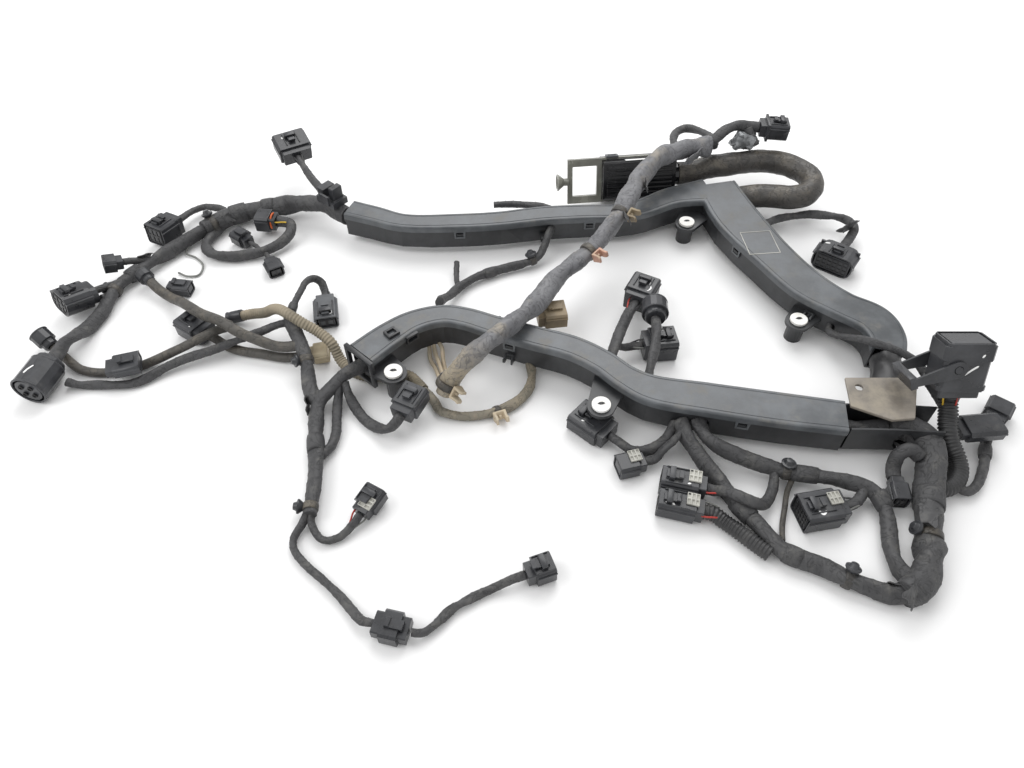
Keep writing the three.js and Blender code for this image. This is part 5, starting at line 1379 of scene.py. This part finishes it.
RING = {"minor_radius": 0.0011, "major_segments": 28, "minor_segments": 10}
for plug, kind, along, radius, material in [
    ("sealed_plug", "seal", 5.0, 9.0, seal_rubber),
    ("round_plug", "collar", 7.0, 16.0, plug_nylon),
    ("round_plug", "lip", 39.3, 16.3, plug_nylon),
    ("cap_plug", "lip", 19.5, 9.2, plug_nylon),
    ("vent_cap", "lip", 15.5, 8.2, plug_nylon),
    ("coil_plug_b", "lip", 23.4, 12.7, plug_nylon),
    ("coil_plug_b", "collar", 7.4, 12.9, plug_nylon),
]:
    add = bpy.ops.mesh.primitive_torus_add
    piece = primitive(f"{plug}_{kind}", add, major_radius=radius / 1000, **RING)
    bpy.ops.object.shade_smooth()
    piece.data.transform(plug_pose(plug, along=along) @ turned(90, "Y"))
    settle(piece, material, "plug")

# The strokes on the top of each painted plug, as points on that top
DABS = {
    "round_plug": [[(20, 2), (26, -1), (31, -2)]],
    "oval_plug": [[(25, 7), (28, 9)]],
    "coolant_plug": [[(22, 6), (23.5, 6.5)]],
    "elbow_plug": [[(12, 8), (14, 9)]],
    "coil_plug_a": [[(10, -8), (15, -10), (19, -8)], [(19, -8), (24, -7)]],
    "coil_plug_c": [[(14, 6), (23, 7)], [(14, 9), (22, 10)]],
    "ear_plug": [[(14, -9), (18, -11)], [(24, 8), (27, 10)]],
    "comb_plug": [[(22, 7), (26, 10), (29, 6)]],
    "twin_plug_front": [[(26, 6), (30, 4), (34, 5)]],
    "twin_plug_back": [[(14, 5), (17, 6)]],
    "wide_plug": [[(10, -12), (13, -17)]],
    "grey_plug": [[(26, 5), (31, 6), (33, 4)]],
    "lever_plug": [[(24, 2), (30, -5), (33, -9)], [(41, -10), (44, -12)]],
    "relay_plug": [[(24, 9), (27, 10)]],
}
STROKE = 2.0
for plug, strokes in DABS.items():
    for number, stroke in enumerate(strokes, 1):
        pose = plug_pose(plug, up=TOPS[plug] + 0.1)
        points = [(x, y, 0) for x, y in stroke]
        local_tube(f"{plug}_dab_{number}", points, STROKE, pose, white_paint, flatten=0.2)
print(len(WIRES), "tufts of wire and", len(DABS), "painted plugs")

# %% [markdown]
# ## Combs
#
# Five plugs hold their contacts with a pale comb that is pushed in from the side. It is a
# flat block with two rows of three windows in its top. A grid is drawn up to the height of
# the block, and each face of its top is inset and sunk.

# %% Model one comb and copy it
comb = grid_piece("contact_comb", 3, 2, 11, 12)
pick(comb, lambda centre, normal: True)
draw_out(0.0022)
bpy.ops.mesh.inset(thickness=0.0007, depth=0.0, use_individual=True)
draw_out(-0.0013)
rounded(comb, 0.2)

# Distance of each comb along its plug
COMBS = {
    "comb_plug": 10.0, "twin_plug_front": 11.0, "twin_plug_back": 11.0, "injector_plug_a": 9.0,
    "small_plug": 9.0,
}
for plug, along in COMBS.items():
    pose = plug_pose(plug, along=along, across=-3.0, up=TOPS[plug] - 0.4)
    settle(copy_of(comb, f"{plug}_comb", pose), comb_nylon, "grey_plug")
bpy.data.objects.remove(comb)
print(len(COMBS), "combs")

# %% [markdown]
# ## Clips round the looms
#
# The looms are held to the engine by clips on tape straps. There are two kinds: a pale
# spring clip with two jaws, and a dark button on a strap. Each kind is modelled once. The
# spring clip starts as a small grid whose faces are raised together, after which only those
# at both ends are drawn up into jaws. The places are given on the plan, and the clip is turned
# to the direction that its loom has there. Wider bands of tape lie over the joints.

# %% Model the clips and strap them on
def loom_pose(route, near, roll=0.0):
    """The pose on a loom at the place nearest to a plan point: X along it, Z out of it."""
    line = smooth_line([in_metres(point) for point in ROUTES[route][1]], 0.002)
    at = nearest_step(line, near)
    ahead = (line[at + 1] - line[at - 1]).normalized()
    side = Vector((0, 0, 1)).cross(ahead).normalized()
    return pose_at(line[at], ahead, side, ahead.cross(side)) @ turned(roll, "X")


def spring_clip():
    """A clip with a flat back and two jaws, with its back at the origin."""
    piece = grid_piece("spring_clip", 5, 3, 13, 10)
    pick(piece, lambda centre, normal: True)
    draw_out(0.0022)
    pick(piece, lambda centre, normal: normal.z > 0.9 and centre.z > 1 and abs(centre.x) > 4)
    draw_out(0.006)
    bpy.ops.transform.resize(value=(0.9, 0.8, 1.0))
    draw_out(0.003)
    bpy.ops.transform.resize(value=(1.15, 0.75, 1.0))
    pick(piece, lambda centre, normal: normal.z > 0.9 and abs(centre.x) < 1 and abs(centre.y) < 1)
    draw_out(0.0028)
    return rounded(piece, 0.35)


def button_clip():
    """A dark round button on a short stem, with a rim."""
    piece = disk_piece("button_clip", 20, 0.0035, 0.004)
    pick(piece, lambda centre, normal: normal.z > 0.9)
    bpy.ops.transform.resize(value=(1.9, 1.9, 1.0))
    draw_out(0.0015)
    bpy.ops.mesh.inset(thickness=0.0022, depth=0.0)
    draw_out(0.0035)
    bpy.ops.transform.resize(value=(0.7, 0.7, 1.0))
    return rounded(piece, 0.3)


# Thickness of a strap, what it keeps of a drawn-in loom, and gap between a loom and its clip
STRAP_RISE = 0.9
DRAWN_IN = 0.84
CLIP_GAP = 0.0006


def strap(name, route, near, width=7.0, material=trunk_tape):
    """A band of tape round a loom."""
    share = DRAWN_IN if near in WAISTS.get(route, []) else 1.0
    radius = ROUTES[route][0] / 2 * share + STRAP_RISE
    line = [Vector((x / 1000, 0, 0)) for x in (-width / 2, -width / 4, 0, width / 4, width / 2)]

    def stand_off(distance, angle):
        end = min(distance, width / 1000 - distance) < 0.0004
        wrinkle = 0.25 * noise.noise(Vector((math.cos(angle) * 2, math.sin(angle) * 2, near[0])))
        return (radius + wrinkle - (0.5 if end else 0.0)) / 1000

    piece = tube_mesh(name, line, 24, stand_off)
    piece.data.transform(loom_pose(route, near))
    return settle(piece, material, "tape", SOLID_OF[route])


pale_clip = spring_clip()
dark_clip = button_clip()
KINDS = {
    "brown": (pale_clip, brown_nylon, "brown_plug"),
    "copper": (pale_clip, copper_clip, "brown_plug"),
    "beige": (pale_clip, beige_clip, "beige_plug"),
    "button": (dark_clip, plug_nylon, "plug"),
}

# Name, kind, route, plan point and roll about the loom
CLIPS = [
    ("hub_clip", "brown", "diagonal", (134, 121), -75),
    ("middle_clip", "copper", "diagonal", (86, 77), -75),
    ("lower_clip", "beige", "diagonal", (-62, -79), -90),
    ("floor_clip", "beige", "beige_loom", (-14, -98), 76),
    ("trunk_clip", "button", "left_trunk", (-358, 180), 20),
    ("cross_clip", "button", "cross_branch", (24, 119), 20),
    ("low_clip", "button", "down_trunk", (-176, -206), 80),
    ("bottom_clip", "button", "bottom_trunk", (276, -273), 30),
    ("corner_clip", "button", "right_trunk", (352, -236), 60),
    ("front_clip", "button", "front_branch", (246, -170), 10),
    ("side_clip", "button", "left_lower_trunk", (-439, 72), 80),
    ("bundle_clip", "button", "front_run", (-206, -42), 70),
]
for name, kind, route, near, roll in CLIPS:
    strap(f"{name}_strap", route, near)
    clip, material, slot = KINDS[kind]
    lift = Matrix.Translation((0, 0, ROUTES[route][0] / 2000 + CLIP_GAP))
    settle(copy_of(clip, name, loom_pose(route, near, roll) @ lift), material, slot, SOLID_OF[route])
for clip in (pale_clip, dark_clip):
    bpy.data.objects.remove(clip)

# Route, plan point and width of each band of tape over a joint
BANDS = [
    ("left_lower_trunk", (-425, 96), 16), ("left_trunk", (-330, 198), 20),
    ("left_trunk", (-296, 210), 14), ("grey_branch", (-226, 24), 12), ("down_trunk", (-186, -140), 18),
    ("right_trunk", (352, -196), 18), ("front_branch", (262, -172), 22),
    ("front_branch", (312, -204), 16), ("ring_branch", (432, -140), 14),
    ("bottom_trunk", (190, -216), 20), ("cross_branch", (-20, 92), 14),
    ("bottom_trunk", (236, -252), 14),
]
for number, (route, near, width) in enumerate(BANDS, 1):
    strap(f"tape_band_{number}", route, near, width, loom_tape)
print(len(CLIPS), "clips with their straps and", len(BANDS), "bands")

# %% [markdown]
# ## Small fittings of the ducts
#
# The front duct ends in a collar that the loom goes through, and a buckle near it holds the
# lid down. Two latches stand at its edge, and the wide leg of the rear lid has the raised
# frame of a label. All of these are boxes whose large faces are inset and bridged, at four
# sizes. The clips on the walls of both ducts are small spring clips.

# %% Model the collar, the buckle, the latches, the frame and the wall clips
def opened_box(name, length, width, height, border, axis):
    """A box with a window through its two faces across an axis."""
    piece = box_piece(name, length, width, height)
    pick(piece, lambda centre, normal: abs(normal[axis]) > 0.9)
    bpy.ops.mesh.inset(thickness=border / 1000, depth=0.0)
    bpy.ops.mesh.bridge_edge_loops()
    return rounded(piece, min(0.6, height / 8, border / 4))


def plan_pose(x, y, z, toward_x, toward_y):
    """A pose on the plan whose X axis points along a direction."""
    turn = Matrix.Rotation(math.atan2(toward_y, toward_x), 4, "Z")
    return Matrix.Translation(in_metres((x, y, z))) @ turn


collar = opened_box("duct_collar", 4.5, 40, 35, 4.2, 0)
collar.data.transform(plan_pose(-148.4, -56.6, 28, 24, 26))
settle(collar, tray_nylon, "tray")
buckle = opened_box("lid_buckle", 13, 11, 4, 2.4, 2)
buckle.data.transform(plan_pose(-119, -29, 45.4, 25, 22))
settle(buckle, tray_nylon, "lid")
latch = opened_box("edge_latch", 14, 6, 9, 1.8, 1)
for number, (x, y, toward_x, toward_y) in enumerate([(61, -56, 8, -6), (-100, -28, 25, 22)], 1):
    pose = plan_pose(x, y, 38.5, toward_x, toward_y)
    settle(copy_of(latch, f"edge_latch_{number}", pose), tray_nylon, "tray")
bpy.data.objects.remove(latch)
label = opened_box("label_frame", 35, 38, 0.4, 0.7, 2)
label.data.transform(plan_pose(276, 115, 40.5, 1, 0.1))
settle(label, comb_nylon, "lid")

# Duct, plan point and side of each wall clip, and its height
WALL_CLIPS = [
    (FRONT_ARM, (-2, -39), -1, 20), (FRONT_ARM, (-66, 14), 1, 30), (FRONT_ARM, (-10, 0), 1, 32),
    (REAR_ARM, (38, 153), -1, 18), (FRONT_ARM, (152, -123), -1, 14), (REAR_LEG, (318, 25), -1, 24),
]
wall_clip = spring_clip()
wall_clip.data.transform(turned(-90, "X") @ Matrix.Diagonal((0.8, 0.8, 0.8, 1)))
for number, (stations, near, side, height) in enumerate(WALL_CLIPS, 1):
    dense = dense_line([Vector(station) for station in stations])
    at = min(range(2, len(dense) - 2), key=lambda i: (dense[i].to_2d() - Vector(near)).length)
    pose = flank_pose(stations, at / (len(dense) - 1), side, height)
    settle(copy_of(wall_clip, f"wall_clip_{number}", pose), tray_nylon, "tray")
bpy.data.objects.remove(wall_clip)
print("collar, buckle, two latches, label frame and", len(WALL_CLIPS), "wall clips")

# %% [markdown]
# ## Cups, flanges and bridges of the plugs
#
# The round plug shows its four contacts, and several plugs have a flange round them. Most
# have a bridge over their latch, with a long key on each side of it. These are disks and
# boxes of a few millimetres, inset or opened in the same way as the fittings of the ducts.

# %% Add cups, flanges, bridges and keys
cup = disk_piece("contact_cup", 14, 0.0026, 0.0016)
pick(cup, lambda centre, normal: normal.z > 0.9)
bpy.ops.mesh.inset(thickness=0.0007, depth=0.0)
draw_out(-0.0013)
rounded(cup, 0.15)
cup.data.transform(turned(90, "Y"))
for number, (y, z) in enumerate([(5, 5), (-5, 5), (-5, -5), (5, -5)], 1):
    pose = plug_pose("round_plug", along=40.6, across=y, up=z)
    settle(copy_of(cup, f"round_plug_cup_{number}", pose), socket_nylon_and_slot_shade, "plug")
bpy.data.objects.remove(cup)

# Plug, distance along it, and thickness, width and height of its flange
FLANGES = [
    ("relay_plug", 9, 2.4, 40, 21), ("coolant_plug", 10, 2.4, 28, 25), ("ear_plug", 12, 2.2, 29, 19),
    ("grommet_plug", 9, 3.0, 27, 22), ("wide_plug", 8, 2.4, 45, 25), ("elbow_plug", 9, 2.4, 28, 21),
    ("square_plug", 9, 2.2, 25, 19),
]
for plug, along, length, width, height in FLANGES:
    piece = box_piece(f"{plug}_flange", length, width, height)
    pick(piece, lambda centre, normal: abs(normal.x) > 0.9)
    bpy.ops.mesh.inset(thickness=min(width, height) / 8000, depth=0.0004)
    rounded(piece, length / 6)
    piece.data.transform(plug_pose(plug, along=along))
    settle(piece, plug_nylon, "plug")

BRIDGED = [
    "relay_plug", "coolant_plug", "oval_plug", "elbow_plug", "grey_plug", "square_plug",
    "injector_plug_a", "ear_plug", "injector_plug_b", "comb_plug", "coil_plug_a", "coil_plug_c",
    "twin_plug_back", "twin_plug_front", "wide_plug", "grommet_plug",
]
BRIDGE_SETBACK = 9
BRIDGE_RISE = 2.3
KEY_RISE = 0.5
bridge = opened_box("latch_bridge", 5, 12.6, 5.2, 1.2, 0)
key = box_piece("plug_key", 1, 1.6, 1.6)
pick(key, lambda centre, normal: normal.z > 0.9)
bpy.ops.transform.resize(value=(0.9, 0.6, 1.0))
bpy.ops.object.mode_set(mode="OBJECT")
for plug in BRIDGED:
    length, top = LENGTHS[plug], TOPS[plug]
    pose = plug_pose(plug, along=length - BRIDGE_SETBACK, up=top + BRIDGE_RISE)
    settle(copy_of(bridge, f"{plug}_bridge", pose), plug_nylon, "plug")
    for number, across in enumerate((-8, 8), 1):
        pose = plug_pose(plug, along=length * 0.62, across=across, up=top + KEY_RISE)
        stretch = Matrix.Diagonal((length * 0.6, 1, 1, 1))
        settle(rounded(copy_of(key, f"{plug}_key_{number}", pose @ stretch), 0.3), plug_nylon, "plug")
for piece in (bridge, key):
    bpy.data.objects.remove(piece)
print("four cups,", len(FLANGES), "flanges and", len(BRIDGED), "latch bridges")

# %% [markdown]
# ## Tape tails, the foil and what else is loose
#
# Used tape has torn ends. A tail is a small sheet that starts on the loom and crumples away
# from it, so it is a grid whose points are pushed by noise and then given a thickness. Beside
# the control unit's loom there is a lump of foil tape, which is a ball crumpled the same
# way. A few dusty strands run from under the front duct to the low end of the diagonal.

# %% Model the tails, the foil and the strands
# The folds are the same each time
noise.seed_set(4)


def crumple(mesh, depth, scale, seed):
    """Push every point of a mesh by noise."""
    for point in mesh.verts:
        point.co += depth * noise.noise_vector(point.co * scale + Vector((seed, 0, 0)))


def closed_piece(mesh, name):
    """An object with smooth faces from a finished mesh."""
    shade_by_angle(mesh, 50)
    return object_from(mesh, name)


def torn_tail(name, pose, length, width, seed):
    """A crumpled sheet of tape that starts at its pose and runs along X."""
    mesh = bmesh.new()
    bmesh.ops.create_grid(mesh, x_segments=10, y_segments=8, size=0.5)
    for point in mesh.verts:
        share = point.co.x + 0.5
        ragged = 1.0 + 0.16 * share * noise.noise(Vector((point.co.y * 6, seed, 0)))
        point.co = Vector((share * length * ragged, point.co.y * width * (1 - 0.3 * share), 0)) / 1000
    crumple(mesh, 0.0032, 110.0, seed)
    bmesh.ops.solidify(mesh, geom=mesh.faces[:], thickness=0.0009)
    bmesh.ops.recalc_face_normals(mesh, faces=mesh.faces)
    mesh.transform(pose)
    return closed_piece(mesh, name)


# Name, cover, route, plan point, roll, lift, length and width
TAILS = [
    ("flag_tail", "tape", "wide_branch", (405, 172), 60, -60, 20, 26),
    ("top_tail", "dusty", "diagonal", (229, 238), -112, -24, 24, 22),
    ("knot_tail", "tape", "right_trunk", (306, -262), -30, -16, 18, 18),
    ("waist_tail", "tape", "diagonal", (132, 119), -60, -45, 18, 12),
    ("hub_tail", "tape", "diagonal", (141, 178), -80, -30, 15, 12),
    ("low_tail", "dusty", "diagonal", (-58, -78), 100, -20, 16, 14),
    ("trunk_tail", "tape", "left_trunk", (-340, 196), -60, -15, 20, 14),
    ("left_tail", "tape", "left_lower_trunk", (-408, 122), 40, -20, 17, 12),
    ("duct_tail", "tape", "front_run", (-190, -78), 90, -25, 18, 14),
    ("corner_tail", "tape", "right_trunk", (356, -214), 20, -12, 22, 20),
    ("bottom_tail", "tape", "bottom_trunk", (330, -292), 60, -15, 20, 14),
]
for number, (name, cover, route, near, roll, lift, length, width) in enumerate(TAILS):
    out = Matrix.Translation((0, 0, 0.0009 * ROUTES[route][0] / 2))
    pose = loom_pose(route, near, roll) @ out @ turned(lift, "Y")
    settle(torn_tail(name, pose, length, width, 4.7 * number), *COVERS[cover], SOLID_OF[route])

foil = bmesh.new()
bmesh.ops.create_icosphere(foil, subdivisions=4, radius=1.0)
bmesh.ops.transform(foil, matrix=Matrix.Diagonal((0.017, 0.013, 0.011, 1.0)), verts=foil.verts)
crumple(foil, 0.005, 90.0, 1.0)
crumple(foil, 0.0025, 260.0, 5.0)
bmesh.ops.transform(foil, matrix=Matrix.Translation(in_metres((286, 284, 62))), verts=foil.verts)
settle(closed_piece(foil, "foil_lump"), foil_tape, "dusty_tape", "diagonal_loom")

on_plan = Matrix.Translation(in_metres((0, 0, 0)))
STRANDS = [
    [(-82, -8, 12), (-79, -22, 9), (-75, -36, 13), (-69, -55, 14), (-64, -74, 20)],
    [(-78, -6, 10), (-72, -20, 14), (-70, -34, 10), (-66, -52, 12), (-60, -72, 22)],
    [(-43, -22, 10), (-48, -34, 15), (-55, -44, 12), (-59, -60, 14), (-58, -72, 24)],
    [(-86, -12, 8), (-84, -28, 6), (-77, -44, 8), (-72, -60, 12), (-68, -76, 18)],
]
for number, points in enumerate(STRANDS, 1):
    local_tube(f"loose_strand_{number}", points, 4.4, on_plan, beige_clip)
print(len(TAILS), "tails, a lump of foil and", len(STRANDS), "strands")

# %% [markdown]
# ## The sleeve between the ducts, a cap and the marks on pins and slide
#
# The thick sleeve at the right joins the two ducts. It is a swept tube like the cords, but
# held at both ends, so it isn't a free cord. Each pin has an oval slot in its head, which
# isn't cut: a flat dark stroke laid on the head is painted shade for it. The control unit
# plug has a pale strip on its top, and its slide a grey tab that moves with it.

# %% Model the sleeve, the cap, the painted slot shade, the strip and the tab
SLEEVE = [
    (369.8, -47.4, 26), (368.2, -56, 26), (364, -70, 26.5), (357, -86, 26.5), (350, -100, 26),
    (349, -109.2, 26),
]
line = smooth_line([in_metres(point) for point in SLEEVE], 0.0012)
piece = tube_mesh("folded_sleeve", line, 32, sleeve_folds(28, 3.3))
settle(piece, black_conduit, "black_conduit", "cross_sleeve")

cap = disk_piece("conduit_cap", 20, 0.0066, 0.013)
pick(cap, lambda centre, normal: normal.z > 0.9)
bpy.ops.mesh.inset(thickness=0.0009, depth=0.0)
draw_out(0.004)
bpy.ops.transform.resize(value=(1.2, 1.2, 1.0))
bpy.ops.mesh.inset(thickness=0.0014, depth=0.0)
draw_out(-0.003)
rounded(cap, 0.4)
cap.data.transform(plug_pose("conduit_cap", along=4.5, up=0.8) @ turned(90, "Y"))
settle(cap, plug_nylon, "plug", "left_conduit")

for name in PINS:
    corners = [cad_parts[name].matrix_world @ point.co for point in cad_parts[name].data.vertices]
    top = max(corner.z for corner in corners)
    head = [corner for corner in corners if corner.z > top - 0.0015]
    middle = sum(head, Vector()) / len(head)
    pose = Matrix.Translation((middle.x, middle.y, top + 0.0001))
    # Painted shade: each slot is a flat dark stroke laid on the pin head, not a recess cut into it
    local_tube(f"{name}_slot", [(-3, 0, 0), (3, 1, 0)], 3.4, pose, socket_nylon_and_slot_shade, flatten=0.15)

unit_pose = (
    Matrix.Translation(in_metres((112, 226, 13))) @ turned(6.5, "Z")
    @ turned(-18, "X") @ Matrix.Translation((0, 0.015, 0.024))
)
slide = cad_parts["unit_plug_slide"]
places = [unit_pose.inverted() @ slide.matrix_world @ point.co for point in slide.data.vertices]
over = 1000 * max(place.z for place in places if place.x > 0.02)
slide_tab = opened_box("slide_tab", 15, 9, 2.4, 2.6, 2)
slide_tab.data.transform(unit_pose @ Matrix.Translation(Vector((12, -3, over + 1.2)) / 1000))
settle(slide_tab, grey_nylon, "clear", body="slide")
unit_label = rounded(box_piece("unit_label", 34, 5, 0.5), 0.15)
unit_label.data.transform(unit_pose @ Matrix.Translation(Vector((44, -11, 24.3)) / 1000))
settle(unit_label, white_paint, "gloss")
print("sleeve, cap, four slots, strip and tab")

# %% [markdown]
# ## Floor and light
#
# The picture was taken on a white floor that is lit evenly from above, so the object has
# hardly any shadow: only a soft grey one beneath what stands clear of the floor. A white
# world gives the even part. One large lamp behind the object and one to its left give the
# long soft highlights along the tops of the ducts.

# %% Light the floor
def lamp(name, size, power, place, aim):
    """A soft square lamp that points at a spot."""
    data = bpy.data.lights.new(name, "AREA")
    data.shape = "SQUARE"
    data.size = size
    data.energy = power
    item = bpy.data.objects.new(name, data)
    bpy.context.collection.objects.link(item)
    item.location = place
    item.rotation_euler = (Vector(aim) - Vector(place)).to_track_quat("-Z", "Y").to_euler()
    return item


def white_floor():
    """A large pale floor that takes the shadow."""
    mesh = bmesh.new()
    bmesh.ops.create_grid(mesh, x_segments=4, y_segments=4, size=6.0)
    piece = object_from(mesh, "white_floor")
    made, tree, shader = start_material("floor_paper")
    tone = mixed(tree, cloud(tree, 3.0), (0.86, 0.86, 0.86, 1), (0.9, 0.9, 0.9, 1))
    tree.links.new(tone, shader.inputs["Base Color"])
    shader.inputs["Roughness"].default_value = 0.7
    piece.data.materials.append(made)
    return piece


white_floor()
lamp("rear_lamp", 1.6, 26, (0.2, 1.3, 1.6), (0, 0, 0))
lamp("left_lamp", 1.4, 16, (-1.5, -0.3, 1.5), (0, 0, 0))
world = bpy.data.worlds.new("white_room")
world.use_nodes = True
bpy.context.scene.world = world
background = world.node_tree.nodes["Background"]
background.inputs["Color"].default_value = (1.0, 1.0, 1.0, 1.0)
seen = put(world.node_tree, "ShaderNodeLightPath").outputs["Is Camera Ray"]
strength = ramp(world.node_tree, seen, 0.0, 1.0, 0.8, 1.0)
world.node_tree.links.new(strength, background.inputs["Strength"])
print("two lamps and a white world")
